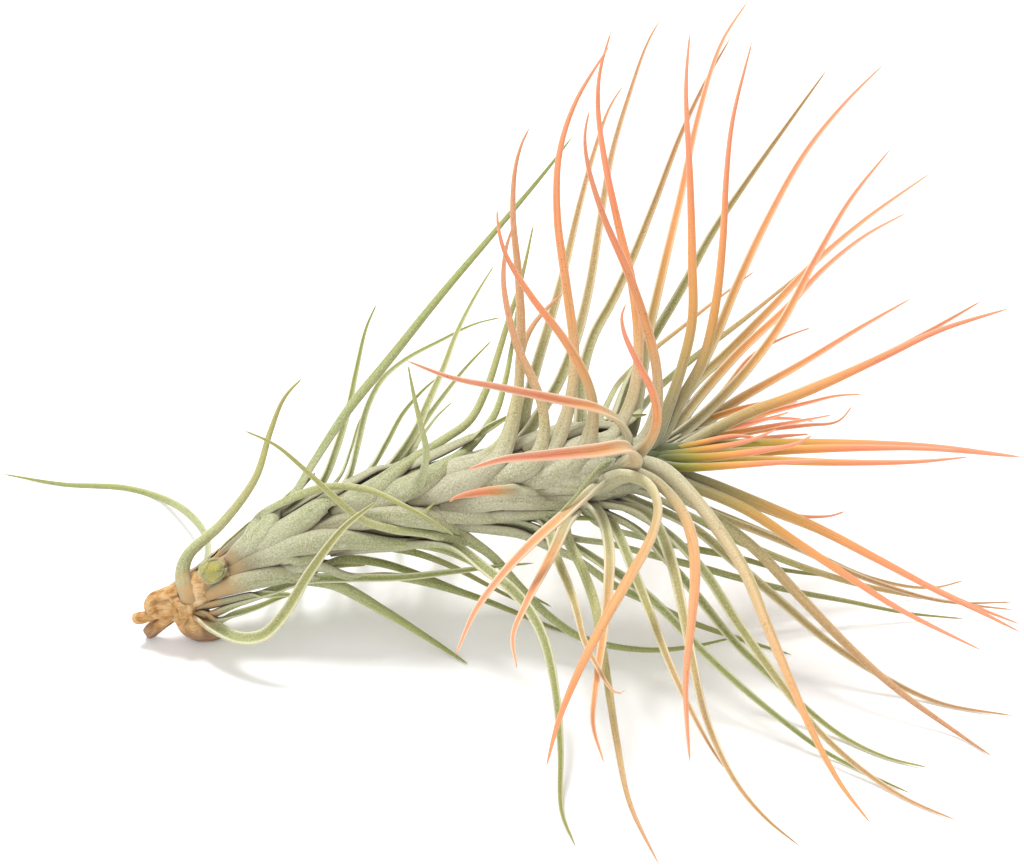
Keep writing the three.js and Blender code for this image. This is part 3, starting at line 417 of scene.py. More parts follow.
def base_rise(distance, angle):
    """How far the spiral of clasping bases stands out of the stem, in mm, on a grid of places. Base k
    starts k pitches along, a golden angle on from the last, and rises by
    rise x along x (1 - (turn / half angle)^2). The highest one shows."""
    rise = np.zeros(np.broadcast(distance, angle).shape)
    first = math.floor(-SHEATH_RUN / SHEATH_PITCH)
    for k in range(first, math.ceil(STEM_LENGTH / SHEATH_PITCH) + 1):
        along = (distance - k * SHEATH_PITCH) / SHEATH_RUN
        turn = np.abs((angle - k * GOLDEN_ANGLE + math.pi) % (2 * math.pi) - math.pi)
        half_angle = SHEATH_HALF_ANGLES[0] + (SHEATH_HALF_ANGLES[1] - SHEATH_HALF_ANGLES[0]) * along**2
        lifted = SHEATH_RISE * along * (1 - (turn / half_angle) ** 2)
        within = (along >= 0) & (along <= 1) & (turn < half_angle)
        rise = np.maximum(rise, np.where(within, lifted, 0))
    return rise


# ---- Leaves ----------------------------------------------------------------------------------------
def leaf_seat(row):
    """Where a leaf leaves the stem: the station nearest its first point in the view, and that point's
    nearness on the near or far half of the stem there."""
    away = np.linalg.norm(STATION_AT - row["path"][0], axis=1)
    station = int(np.argmin(away))
    radius = STATIONS["radius"][station]
    offset = min(away[station] / PIXELS_PER_MM / radius, 1)
    sign = -1 if row["reach"] < 0 else 1
    start = STATION_TOWARD[station] + sign * radius * math.sqrt(1 - offset**2)
    return station, start, STATION_TOWARD[station] + row["reach"]


def far_leaves():
    """Leaves of the far side: evenly spaced roots, the rest a seeded draw."""
    draws = seeded_draws(11)

    def between(limits):
        return limits[0] + (limits[1] - limits[0]) * next(draws)

    rows = []
    for i in range(FAR_LEAVES["count"]):
        start = FAR_LEAVES["first"] + FAR_LEAVES["step"] * (i + next(draws) * 0.6)
        run = between(FAR_LEAVES["run"])
        points = []
        for step in range(4):
            x = start + run * step / 3
            y = STATION_AT[np.argmin(np.abs(STATION_AT[:, 0] - x)), 1]
            points += [x, y + (next(draws) - 0.5) * FAR_LEAVES["sway"]]
        reach = between(FAR_LEAVES["reach"])
        rows.append(leaf(reach, between(FAR_LEAVES["width"]), *points, warmth=round(i / FAR_LEAVES["count"])))
    return rows


for table, shades in (
    (BRONZE_LEAVES, {"warmth": 0.5}),
    (CORAL_LEAVES, {"warmth": 1.0}),
    (HEART_LEAVES, {"warmth": 1.0, "heart": 1.0, "tone": 0.2}),
):
    for row in table:
        row.update(shades)
ALL_LEAVES = GREEN_LEAVES + BRONZE_LEAVES + CORAL_LEAVES + HEART_LEAVES + CLOSE_LEAVES + far_leaves()


def leaves_between(start, end):
    """The leaves whose seats lie on a length of the stem."""
    return [row for row in ALL_LEAVES if start <= STATIONS["distance"][leaf_seat(row)[0]] < end]


def blade_points(row, start, end):
    """A blade's points: from its start's nearness to its end's, by 1 - (1 - along)^ease."""
    along = lengths_along(row["path"])
    eased = 1 - (1 - along / along[-1]) ** REACH_EASE
    return place(row["path"], start + (end - start) * eased)


def ringed(points, free_end, power, sizes):
    """Rings on the curve through some points: even up to point number `free_end`, where the sheath ends,
    and then the blade's at t^power of the rest. Also the places of the sheath's rings among the points."""
    dense, knots = curve_through(points)
    lengths = lengths_along(dense)
    sheath = np.interp(free_end, knots, lengths)
    blade = np.linspace(0, 1, sizes.blade_rings + 2)[1:-1] ** power
    wanted = np.concatenate([np.linspace(0, sheath, sizes.sheath_rings), sheath + (lengths[-1] - sheath) * blade,
                             [lengths[-1]]])
    return read_at(wanted, lengths, dense), np.interp(wanted[: sizes.sheath_rings], lengths, knots)


def traced_sheath(row, sizes):
    """A sheath that shows in the view: its points on the near half of the stem, which it rises from, and
    their distances along it."""
    away = np.linalg.norm(row["sheath"][:, None] - STATION_AT[None], axis=2)
    station = np.argmin(away, axis=1)
    a = np.linspace(0, 1, len(station) + 1)[:-1]
    radius = STATIONS["radius"][station] - SHEATH_SINK * (1 - a) + sizes.sheath_rise / MM * a
    depth = np.sqrt(np.maximum(radius**2 - (away.min(axis=1) / PIXELS_PER_MM) ** 2, 0))
    return place(row["sheath"], STATION_TOWARD[station] + depth), STATIONS["distance"][station]


def wound_sheath(row, here, angle, lean, sizes):
    """A sheath that doesn't show: it runs along the stem for its length, leaning round it towards the
    blade, and rises from the stem to its free end."""
    length = min(sizes.sheath_length / MM, max(here["distance"] - ROOT_CLEAR, LEAST_SHEATH))
    a = np.array([0, 0.25, 0.5, 0.75])
    stem = stem_at(here["distance"] - length * (1 - a))
    angles = (angle - lean * (1 - a) * length / here["radius"])[:, None]
    radii = (stem["radius"] - SHEATH_SINK * (1 - a) + sizes.sheath_rise / MM * a)[:, None]
    points = stem["point"] + radii * (np.cos(angles) * stem["top"] + np.sin(angles) * stem["side"])
    return points, here["distance"] - length * (1 - a)


def eased_down(rings):
    """A blade that bends where it comes down on the surface: its nearness is averaged over the rings on
    each side with weights exp(-(step / width)^2), fading in from its root, and its course in the view is
    kept. Past its ends it is taken to run on straight."""
    at, toward = seen(rings)
    steps = np.arange(-BEND_RINGS, BEND_RINGS + 1)
    weights = np.exp(-((steps / BEND_WIDTH) ** 2))
    before = toward[0] + steps[:BEND_RINGS] * (toward[1] - toward[0])
    after = toward[-1] + steps[BEND_RINGS + 1 :] * (toward[-1] - toward[-2])
    even = np.convolve(np.concatenate([before, toward, after]), weights / weights.sum(), "valid")
    return place(at, toward + (even - toward) * smooth(0, 8, np.arange(len(toward))))


def leaf_line(row, sizes):
    """The midrib, as rings of the sheath and then of the blade, which goes through the leaf's points.
    Returns the rings, and the stem's axis and radius beside each ring of the sheath."""
    station, start, end = leaf_seat(row)
    here = {key: STATIONS[key][station] for key in STATIONS}
    if len(row["sheath"]) and row["reach"] < 0:
        start = 2 * STATION_TOWARD[station] - start
    points = blade_points(row, start, end)
    offset = points[0] - here["point"]
    outward = unit(offset - (offset @ here["tangent"]) * here["tangent"])
    angle = math.atan2(outward @ here["side"], outward @ here["top"])
    round_stem = -math.sin(angle) * here["top"] + math.cos(angle) * here["side"]
    lean = unit(points[1] - points[0]) @ round_stem * sizes.sheath_lean
    if len(row["sheath"]):
        sheath, distance = traced_sheath(row, sizes)
    else:
        sheath, distance = wound_sheath(row, here, angle, lean, sizes)
    points[0] = points[0] + outward * sizes.sheath_rise / MM * FREE_END_LIFT
    rings, places = ringed(np.vstack([sheath, points]), len(sheath), RING_SPREAD, sizes)
    rings = np.where(rings[:, 2:] < LEAF_LIFT, at_height(seen(rings)[0], LEAF_LIFT), rings)
    rings[sizes.sheath_rings :] = eased_down(rings[sizes.sheath_rings :])
    beside = stem_at(np.interp(places, np.arange(len(sheath) + 1), np.append(distance, here["distance"])))
    return rings, beside["point"], beside["radius"]


def scale_lines(start, end, sizes):
    """Midribs of the short bases that fill the stem between the leaves, away from the view: base k sits at
    k pitches along the stem, a golden angle on from the last, and ends in a point that stands off it."""
    found = []
    for k in range(math.ceil((start - SHEATH_RUN) / SHEATH_PITCH), math.floor(end / SHEATH_PITCH)):
        angle = k * GOLDEN_ANGLE
        last = k * SHEATH_PITCH + SHEATH_RUN
        if not start <= last <= min(end, STEM_LENGTH - TIP_FREE):
            continue
        free = stem_at(np.array([last]))
        outward = math.cos(angle) * free["top"][0] + math.sin(angle) * free["side"][0]
        if outward @ TOWARD > HIDDEN:
            continue
        stem = stem_at(np.maximum(last + SHORT_BASE[:, 0], 1.0))
        points = stem["point"] + (stem["radius"] + SHORT_BASE[:, 1])[:, None] * (
            math.cos(angle) * stem["top"] + math.sin(angle) * stem["side"])
        rings, _ = ringed(points, SHORT_BASE_END, 1, sizes)
        beside = stem_at(last + SHORT_BASE[0, 0] * (1 - np.linspace(0, 1, sizes.sheath_rings)))
        found.append((rings, beside["point"], beside["radius"]))
    return found


def leaf_frames(lines, axes, sheath_rings, twist):
    """Tangent, side and inner direction of every ring of every leaf. On the sheath the side lies round
    the stem. On the blade it is carried on from ring to ring, and turns the broad face to the view over
    the blade's first third. A seeded twist is added further out."""
    tangent = unit(np.gradient(lines, axis=1))
    sides = np.zeros_like(lines)
    outward = lines[:, :sheath_rings] - axes
    sides[:, :sheath_rings] = unit(np.cross(outward, tangent[:, :sheath_rings]))
    count = lines.shape[1]
    side = sides[:, sheath_rings - 1]
    for ring in range(sheath_rings, count):
        t = (ring - sheath_rings) / (count - sheath_rings)
        along = tangent[:, ring]
        side = unit(side - dot(side, along) * along)
        facing = np.cross(along, TOWARD)
        facing = np.where(dot(facing, side) < 0, -facing, facing)
        rate = FACE_TURN[1] * smooth(0, 0.3, t) + FACE_TURN[0]
        side = unit(side * (1 - rate * np.linalg.norm(facing, axis=1, keepdims=True)) + facing * rate)
        sides[:, ring] = side
    inner = np.cross(sides, tangent)
    t = np.clip((np.arange(count) - sheath_rings) / (count - sheath_rings), 0, 1)
    roll = (twist[:, None] * smooth(0, 0.7, t))[..., None]
    return tangent, sides * np.cos(roll) + inner * np.sin(roll), inner * np.cos(roll) - sides * np.sin(roll)


def leaf_surfaces(rows, scales, sizes, seed):
    """Closed leaf surfaces on a grid of rings and section angles v. With q = cos v the midline of a
    section is an arc, side: half sin(curl q) / sin(curl), inner: half (1 - cos(curl q)) / sin(curl), and the
    two faces stand off it by half the thickness times |sin v|^0.7, so that the margins are thin and round.
    A is how far along its sheath a ring lies, and t how far along its blade."""
    random = np.random.default_rng(seed)
    found = [leaf_line(row, sizes) for row in rows] + scales
    rows = rows + [leaf(0, 1.7, 0, 0, tone=0.15)] * len(scales)
    lines, axes, radii = (np.stack(part) for part in zip(*found))
    width, given, ripe, tone, warmth, heart = (
        np.array([row[key] for row in rows])[:, None] for key in ("width", "clasp", "ripe", "tone", "warmth", "heart"))
    twist = random.uniform(-1, 1, len(rows)) * sizes.blade_twist
    tangent, side, inner = leaf_frames(lines[:, :-1], axes, sizes.sheath_rings, twist)
    count = lines.shape[1] - 1
    n_sheath = sizes.sheath_rings
    a = np.clip(np.arange(count) / (n_sheath - 1), 0, 1)[None]
    reach = lengths_along(lines)
    free_end = reach[:, n_sheath - 1 : n_sheath]
    t = np.clip((reach[:, :-1] - free_end) / (reach[:, -1:] - free_end), 0, 1)
    # A blade flares by 0.3 over its first fifth. A sheath is widest from a third of its length on.
    blade = width * sizes.blade_width * (1 + 0.3 * (1 - smooth(0, 0.2, t))) * (1 - t) ** TAPER
    blade = np.maximum(blade, sizes.tip_width / MM)
    radius = np.concatenate([radii, np.repeat(radii[:, -1:], count - n_sheath, axis=1)], axis=1)
    clasp = np.where(given > 0, given * 0.95, np.minimum(radius * 0.85, width * 1.9))
    clasp = clasp * (0.65 + 0.35 * smooth(0, 0.35, a)) * (1 - 0.12 * smooth(0.5, 1, a))
    # Near the free end it narrows into the blade, sooner where it doesn't show.
    early = np.where(given > 0, 0.0, 0.15)
    half = (clasp + (blade - clasp) * smooth(0.7, 1.4, a + t * 3.2 + early)) / 2
    curl = CURL[0] + (CURL[1] - CURL[0]) * smooth(0.3, 1, t)
    thick = sizes.blade_thickness / MM * (0.6 + 0.4 * a) * (1 - 0.6 * smooth(0, 1, t))
    thick = np.minimum(thick, half * 0.8)
    v = circle(sizes.section_points)
    q = np.cos(v)[None, None]
    stand = np.sign(np.sin(v)) * np.abs(np.sin(v)) ** 0.7
    curl, half, thick = curl[..., None], half[..., None], thick[..., None] / 2
    bow = curl * q
    x = half * np.sin(bow) / np.sin(curl) - thick * stand * np.sin(bow)
    y = half * (1 - np.cos(bow)) / np.sin(curl) + thick * stand * np.cos(bow)
    points = lines[:, :-1, None] + x[..., None] * side[:, :, None] + y[..., None] * inner[:, :, None]
    points[..., 2] = np.maximum(points[..., 2], FLOOR_GAP)
    tone = np.clip(tone + random.uniform(-0.1, 0.1, tone.shape), 0, 1)
    warmth = np.clip(warmth + random.uniform(-0.1, 0.1, warmth.shape), 0, 1)
    a, t = a[..., None], t[..., None]
    bared = 1 - smooth(0.2, 0.6, a + t)
    values = {
        "run": np.where(t > 0, 0.2 + 0.8 * t * ripe[..., None], 0.2 * a),
        "across": q,
        "rim": np.abs(q) ** 5,
        "channel": np.clip(0.5 + 2 * stand, 0, 1),
        "tone": tone[..., None],
        "warmth": warmth[..., None],
        "heart": heart[..., None],
        # Painted shade in the creases: along a sheath's margins and over its buried start.
        "crease": np.clip(np.abs(q) ** 4 * (1 - smooth(0, 0.04, t)) * 0.9 + (1 - smooth(0.05, 0.35, a + t)), 0, 1),
        "dry": np.maximum(dryness(points, *DEAD_NEAR), dryness(points, *DEAD_WIDE) * bared),
    }
    return closed_tubes(points, np.stack([lines[:, 0], lines[:, -1]], axis=1), values)


def dryness(points, near, far):
    """How dead the tissue is: 1 up to `near` mm from the foot's middle, 0 from `far` mm on."""
    return 1 - smooth(near, far, np.linalg.norm(points - FOOT_MIDDLE, axis=-1))


def closed_tubes(points, ends, attributes):
    """Vertices, quads, triangles and values of tubes on a grid (tube, ring, place in the ring), each closed
    by a fan of triangles to its start point and to its end point. A tube's faces turn outwards: their order
    is reversed where the volume inside, a sixth of the sum of a . (b x c) over its triangles, is negative."""
    tubes, rings, sides = points.shape[:3]
    size = rings * sides + 2
    vertices = np.concatenate([points.reshape(tubes, -1, 3), ends], axis=1).reshape(-1, 3)
    ring, place_in = np.meshgrid(np.arange(rings - 1), np.arange(sides), indexing="ij")
    here = ring * sides + place_in
    beside = ring * sides + (place_in + 1) % sides
    quads = np.stack([here, beside, beside + sides, here + sides], axis=-1).reshape(-1, 4)
    j = np.arange(sides)
    k = (j + 1) % sides
    last = (rings - 1) * sides
    fans = np.concatenate([np.stack([np.full(sides, size - 2), k, j], axis=-1),
                           np.stack([np.full(sides, size - 1), last + j, last + k], axis=-1)])
    triangles = np.concatenate([quads[:, :3], quads[:, [0, 2, 3]], fans])
    a, b, c = (vertices.reshape(tubes, size, 3)[:, triangles[:, corner]] for corner in range(3))
    inside_out = dot(a, np.cross(b, c)).sum(axis=1, keepdims=True) < 0
    start = (np.arange(tubes) * size)[:, None, None]
    quads = (np.where(inside_out, quads[None, :, ::-1], quads[None]) + start).reshape(-1, 4)
    fans = (np.where(inside_out, fans[None, :, ::-1], fans[None]) + start).reshape(-1, 3)
    values = {}
    for name, grid in attributes.items():
        grid = np.broadcast_to(grid, points.shape[:3])
        ending = np.stack([grid[:, 0].mean(-1), grid[:, -1].mean(-1)], axis=1)
        values[name] = np.concatenate([grid.reshape(tubes, -1), ending], axis=1).ravel()
    return {"vertices": vertices, "quads": quads, "fans": fans, "values": values}


def stem_surface(start, end):
    """The stem between two distances along it, a tube that swells under each base. Its last few mm close
    in a dome, radius times (1 - share^2)^0.5, as dark green as the blades that stand round it."""
    end = min(end, STEM_LENGTH)
    distance = np.append(np.arange(start, end, STEM_STEP), end)
    angle = circle(STEM_POINTS)
    stem = stem_at(distance)
    rise = base_rise(distance[:, None], angle[None])
    share = np.clip(1 - (STEM_LENGTH - distance) / STEM_DOME, 0, 1)[:, None]
    dome = np.maximum(np.sqrt(1 - share**2), 0.04)
    radius = (stem["radius"][:, None] * STEM_SHARE + rise * STEM_SWELL - STEM_INSET) * dome
    points = around(stem["point"], radius, stem["top"], stem["side"], angle)
    points[..., 2] = np.maximum(points[..., 2], FLOOR_GAP)
    # Green starts with the dome and grows over its first part.
    young = np.where(share > 0, smooth(-0.3, 0.4, share), 0)
    # The stem's core shows only in the gaps between the bases, and painted crease shade darkens it there.
    values = even_values(rise.shape, run=0.05 + 0.2 * young, crease=1 - young, heart=young)
    values["dry"] = dryness(points, *DEAD_WIDE)[None]
    return closed_tubes(points[None], stem["point"][[0, -1]][None], values)


def even_values(shape, **given):
    """The leaf attributes on a grid, 0 all over but where a value or an array is given."""
    return {key: np.broadcast_to(given.get(key, 0.0), (1, *shape)) for key in LEAF_VALUES}


def joined(parts):
    """Several surfaces as one, with their values."""
    offset = np.cumsum([0] + [len(part["vertices"]) for part in parts[:-1]])
    surface = {
        key: np.concatenate([part[key] + start * (key != "vertices") for part, start in zip(parts, offset)])
        for key in ("vertices", "quads", "fans")
    }
    surface["values"] = {
        key: np.concatenate([part["values"][key] for part in parts]) for key in parts[0]["values"]
    }
    return surface


def make_piece(name, surface, material):
    """A Blender object from a surface in mm: vertices in metres, smooth faces, values as attributes."""
    mesh = bpy.data.meshes.new(name)
    vertices = surface["vertices"] * MM
    mesh.from_pydata(vertices.tolist(), [], surface["quads"].tolist() + surface["fans"].tolist())
    mesh.polygons.foreach_set("use_smooth", np.ones(len(mesh.polygons), bool))
    for key, values in surface["values"].items():
        attribute = mesh.attributes.new(key, "FLOAT", "POINT")
        attribute.data.foreach_set("value", np.ascontiguousarray(values, np.float32))
    mesh.materials.append(material)
    mesh.update()
    piece = bpy.data.objects.new(name, mesh)
    bpy.context.scene.collection.objects.link(piece)
    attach(piece, BODY)
    return piece


# ---- Materials -------------------------------------------------------------------------------------
def add_node(tree, kind, inputs=None, stops=(), **settings):
    """Adds a node with its settings, its inputs and a colour ramp's (position, colour) stops. An input is a
    value, or a socket that is linked to it."""
    node = tree.nodes.new(kind)
    for key, value in settings.items():
        setattr(node, key, value)
    for key, value in (inputs or {}).items():
        if isinstance(value, bpy.types.NodeSocket):
            tree.links.new(value, node.inputs[key])
        else:
            node.inputs[key].default_value = value
    for i, (position, color) in enumerate(stops):
        element = node.color_ramp.elements[i] if i < 2 else node.color_ramp.elements.new(position)
        element.position, element.color = position, color
    return node


def new_material(name, inputs):
    """A node material with its output and a shader with these inputs."""
    material = bpy.data.materials.new(name)
    material.use_nodes = True
    tree = material.node_tree
    tree.nodes.clear()
    shader = add_node(tree, "ShaderNodeBsdfPrincipled", inputs)
    add_node(tree, "ShaderNodeOutputMaterial", {"Surface": shader.outputs["BSDF"]})
    return material, tree, shader


def layered(tree, made, color, layers):
    """A colour under layers of (blend type, pattern, its value where the layer is absent and where it is
    full, greatest share, colour). A word stands for the socket that is made under that name."""
    for blend, *items in layers:
        pattern, absent, full, most, layer = (made[item] if isinstance(item, str) else item for item in items)
        share = add_node(tree, "ShaderNodeMapRange", {
            "Value": pattern, "From Min": absent, "From Max": full, "To Max": most}).outputs["Result"]
        mix = add_node(tree, "ShaderNodeMix", {0: share, 6: color, 7: layer}, data_type="RGBA", blend_type=blend)
        color = mix.outputs[2]
    return color


def finished(tree, shader, color, height, strength, distance):
    """Gives a shader its colour, and a bump of a pattern's height."""
    bump = add_node(tree, "ShaderNodeBump", {"Height": height, "Strength": strength, "Distance": distance})
    tree.links.new(bump.outputs["Normal"], shader.inputs["Normal"])
    tree.links.new(color, shader.inputs["Base Color"])


def scaly_leaf_skin(name, c):
    """Living leaf skin under flat silver scales. Colours run from the sheath (0) over its free end (0.2)
    to the tip (1). The eye gets a matt, slightly mealy surface: pale scales of about 0.2 mm over the
    green or coral tissue, faint streaks along it, paler thin margins, and painted shade in the creases of the sheaths
    and where leaf bases come close together."""
    material, tree, shader = new_material(name, {
        "Roughness": 0.62, "IOR": 1.42, "Subsurface Weight": 0.12, "Subsurface Radius": (1.0, 0.7, 0.3),
        "Subsurface Scale": 0.8 * MM, "Sheen Weight": 0.26, "Sheen Roughness": 0.4})
    made = {key: add_node(tree, "ShaderNodeAttribute", attribute_name=key).outputs["Fac"] for key in LEAF_VALUES}
    # Each kind of leaf has two courses of colour, which its tone goes between.
    for key, *stops in (
        ("sage", (0.22, c.green_sheath), (0.38, c.sage), (0.7, linear("#a9ae6c")), (1, linear("#979d58"))),
        ("moss", (0.2, c.green_sheath), (0.34, linear("#8f9854")), (0.65, c.moss), (1, c.moss)),
        ("bronze", (0.2, c.sheath), (0.34, c.olive), (0.55, c.tan), (1, linear("#cc8a6e"))),
        ("straw", (0.2, c.sheath), (0.34, linear("#a6ab70")), (0.55, linear("#a9a566")),
         (0.75, linear("#be9c6a")), (1, linear("#cc9270"))),
        ("coral", (0.2, c.sheath), (0.33, linear("#cbad80")), (0.45, c.orange), (0.68, c.coral), (1, c.rose)),
        ("amber", (0.2, c.sheath), (0.36, linear("#b3ae82")), (0.5, linear("#cfa673")), (0.72, c.orange),
         (1, c.coral)),
        ("youngest", (0.1, c.sheath), (0.15, c.heart), (0.3, linear("#46550a")), (0.4, linear("#7d7c1c")),
         (0.5, linear("#b48c30")), (0.61, linear("#da964c")), (0.74, c.coral), (1, c.rose)),
    ):
        made[key] = add_node(tree, "ShaderNodeValToRGB", {"Fac": made["run"]}, [(0, c.sheath), *stops]).outputs["Color"]
    for key, first, second in (
        ("greens", "sage", "moss"), ("bronzes", "bronze", "straw"), ("corals", "coral", "amber"),
    ):
        made[key] = add_node(
            tree, "ShaderNodeMix", {0: made["tone"], 6: made[first], 7: made[second]}, data_type="RGBA").outputs[2]
    coords = add_node(tree, "ShaderNodeTexCoord").outputs["Object"]
    # Streaks follow the leaf: about seven across its width, each a fifth of its length.
    course = add_node(tree, "ShaderNodeCombineXYZ", {"X": made["across"], "Y": made["run"], "Z": made["tone"]})
    stretched = add_node(tree, "ShaderNodeMapping", {"Vector": course.outputs["Vector"], "Scale": (3.5, 5.0, 40.0)})
    # Scales lie about 0.22 mm apart, and a slower drift of 2 mm keeps a blade from being even.
    for key, vector, spacing, detail, roughness in (
        ("scales", coords, 0.22 * MM, 2.0, 0.6),
        ("drift", coords, 2.0 * MM, 3.0, 0.5),
        ("streaks", stretched.outputs["Vector"], 1.0, 2.0, 0.5),
    ):
        made[key] = add_node(tree, "ShaderNodeTexNoise", {
            "Vector": vector, "Scale": 1 / spacing, "Detail": detail, "Roughness": roughness}).outputs["Fac"]
    # Painted shade darkens the skin where leaf bases come within about 1.3 mm of each other.
    made["openness"] = add_node(tree, "ShaderNodeAmbientOcclusion", {"Distance": 1.3 * MM}, samples=8).outputs["AO"]
    # How much the layers show: the pattern, its value where a share is least and where it is most, and both
    # shares. Coral blades lose their scales sooner.
    for key, pattern, low, high, least, most in (
        ("bare_from", "warmth", 0.5, 1.0, 1.05, 0.45),
        ("hollow", "warmth", 0.9, 0.4, 0.0, 0.4),
        ("scaled", "run", "bare_from", 0.1, 0.0, 0.55),
        ("dusty", "drift", 0.4, 0.6, 0.0, 0.6),
        ("shut", "run", 0.4, 0.15, 0.0, 0.85),
        ("blotched", "drift", 0.3, 0.5, 0.0, 1.0),
    ):
        made[key] = add_node(tree, "ShaderNodeMapRange", {
            "Value": made[pattern], "From Min": made.get(low, low), "From Max": high, "To Min": least,
            "To Max": most}).outputs["Result"]
    color = layered(tree, made, made["greens"], (
        ("MIX", "warmth", 0.0, 0.5, 1.0, "bronzes"),
        ("MIX", "warmth", 0.5, 1.0, 1.0, "corals"),
        ("MULTIPLY", "channel", 0.3, 1.0, "hollow", linear("#c6cf96")),
        ("MULTIPLY", "streaks", 0.48, 0.72, 0.6, linear("#c6cb9e")),
        ("MIX", "scales", 0.47, 0.7, "scaled", c.silver),
        ("MULTIPLY", "scales", 0.42, 0.3, "dusty", linear("#857f62")),
        ("MIX", "heart", 0.0, 1.0, 0.9, "youngest"),
        ("MIX", "rim", 0.0, 1.0, 0.5, linear("#f3eed6")),
        # Painted shade in the creases of the sheaths and on the stem's core.
        ("MIX", "crease", 0.0, 1.0, 0.7, c.crease),
        ("MIX", "dry", 0.0, 0.8, "blotched", linear("#b8976a")),
        # Painted shade, dusky brown, where leaf bases come close together.
        ("MIX", "openness", 0.72, 0.2, "shut", c.gap_shade),
    ))
    finished(tree, shader, color, made["scales"], 0.35, 0.06 * MM)
    return material


def downy_bud_skin(name, c):
    """Young bud scales under fine pale hairs: soft and matt, yellow-green, brown where a scale is torn, with painted
    shade in olive-brown at the bases of the scales and on the core.
    """
    material, tree, shader = new_material(name, {"Roughness": 0.75, "IOR": 1.42, "Sheen Weight": 0.4})
    coords = add_node(tree, "ShaderNodeTexCoord").outputs["Object"]
    made = {
        key: add_node(tree, "ShaderNodeAttribute", attribute_name=key).outputs["Fac"] for key in ("crease", "rim")
    }
    # Down is about 0.12 mm apart, and the colour drifts over about 1 mm.
    for key, spacing in (("down", 0.12 * MM), ("drift", 1.0 * MM)):
        made[key] = add_node(tree, "ShaderNodeTexNoise", {
            "Vector": coords, "Scale": 1 / spacing, "Detail": 2.0}).outputs["Fac"]
    color = layered(tree, made, c.bud, (
        ("MIX", "drift", 0.55, 0.75, 0.6, c.dry_tan),
        ("MIX", "down", 0.5, 0.7, 0.4, linear("#dcdc9c")),
        # Painted shade at the bases of the scales and on the core.
        ("MIX", "crease", 0.0, 1.0, 1.0, linear("#7d6f2a")),
        ("MIX", "rim", 0.0, 1.0, 0.55, linear("#eeedc8")),
    ))
    finished(tree, shader, color, made["down"], 0.4, 0.06 * MM)
    return material


def dry_tissue(name, c):
    """Dead woody tissue and papery leaf scales, dried and torn: matt, fibrous along the stem, pale where
    it is papery, with painted shade in its cracks, grooves and hollows, and greyer purple-brown low down near the
    surface below."""
    material, tree, shader = new_material(name, {
        "Roughness": 0.8, "IOR": 1.45, "Subsurface Weight": 0.08, "Subsurface Radius": (1.0, 0.7, 0.4),
        "Subsurface Scale": 0.8 * MM})
    made = {
        key: add_node(tree, "ShaderNodeAttribute", attribute_name=key).outputs["Fac"]
        for key in ("crease", "pale", "near_floor")
    }
    coords = add_node(tree, "ShaderNodeTexCoord").outputs["Object"]
    # Fibres are about 0.3 mm apart across and 1.2 mm long; patches are about 1.4 mm across.
    stretched = add_node(tree, "ShaderNodeMapping", {"Vector": coords, "Scale": (0.25, 1.0, 1.0)}).outputs["Vector"]
    for key, vector, spacing, detail, roughness in (
        ("fibres", stretched, 0.3 * MM, 4.0, 0.7),
        ("patches", coords, 1.4 * MM, 3.0, 0.5),
    ):
        made[key] = add_node(tree, "ShaderNodeTexNoise", {
            "Vector": vector, "Scale": 1 / spacing, "Detail": detail, "Roughness": roughness}).outputs["Fac"]
    # Painted shade where parts of the foot come within about 1.8 mm of each other.
    made["openness"] = add_node(tree, "ShaderNodeAmbientOcclusion", {"Distance": 1.8 * MM}, samples=8).outputs["AO"]
    color = layered(tree, made, c.dry_tan, (
        ("MIX", "patches", 0.35, 0.65, 0.8, c.dry_pale),
        ("MIX", "pale", 0.0, 1.0, 0.8, linear("#e8cfa4")),
        ("MULTIPLY", "fibres", 0.52, 0.3, 0.8, linear("#c79a63")),
        ("MIX", "patches", 0.44, 0.3, 0.55, linear("#8a5a28")),
        # Greyer purple-brown low down, near the surface below.
        ("MIX", "near_floor", 0.0, 1.0, 0.75, linear("#8a6f5c")),
        # Painted shade in the grooves, the pit and the flaps' margins.
        ("MIX", "crease", 0.0, 1.0, 1.0, c.dry_crease_shade),
        # Painted shade where the parts come close together.
        ("MIX", "openness", 0.75, 0.2, 0.95, c.dry_crease_shade),
    ))
    finished(tree, shader, color, made["fibres"], 0.5, 0.12 * MM)
    return material


# ---- Dry foot and offset bud -----------------------------------------------------------------------
# Lengths of dead stem and root. x and y in the view, nearness in mm and radius in mm.
BODY_LENGTH = np.array([
    [151.5, 613, 15.3, 1.2], [153, 611, 15.4, 1.7], [158, 607, 15.6, 2.05], [168, 603, 15.9, 2.15],
    [180, 599, 16.1, 2.25], [192, 593, 16.3, 2.6], [204, 587, 16.6, 2.6], [214, 582, 16.9, 1.6],
])
NUB = np.array([
    [135.6, 618.4, 14.4, 0.72], [136.4, 618.3, 14.5, 0.84], [141, 617.8, 14.7, 0.9], [147, 616.5, 15.0, 0.86],
    [155, 613, 15.3, 0.95],
])
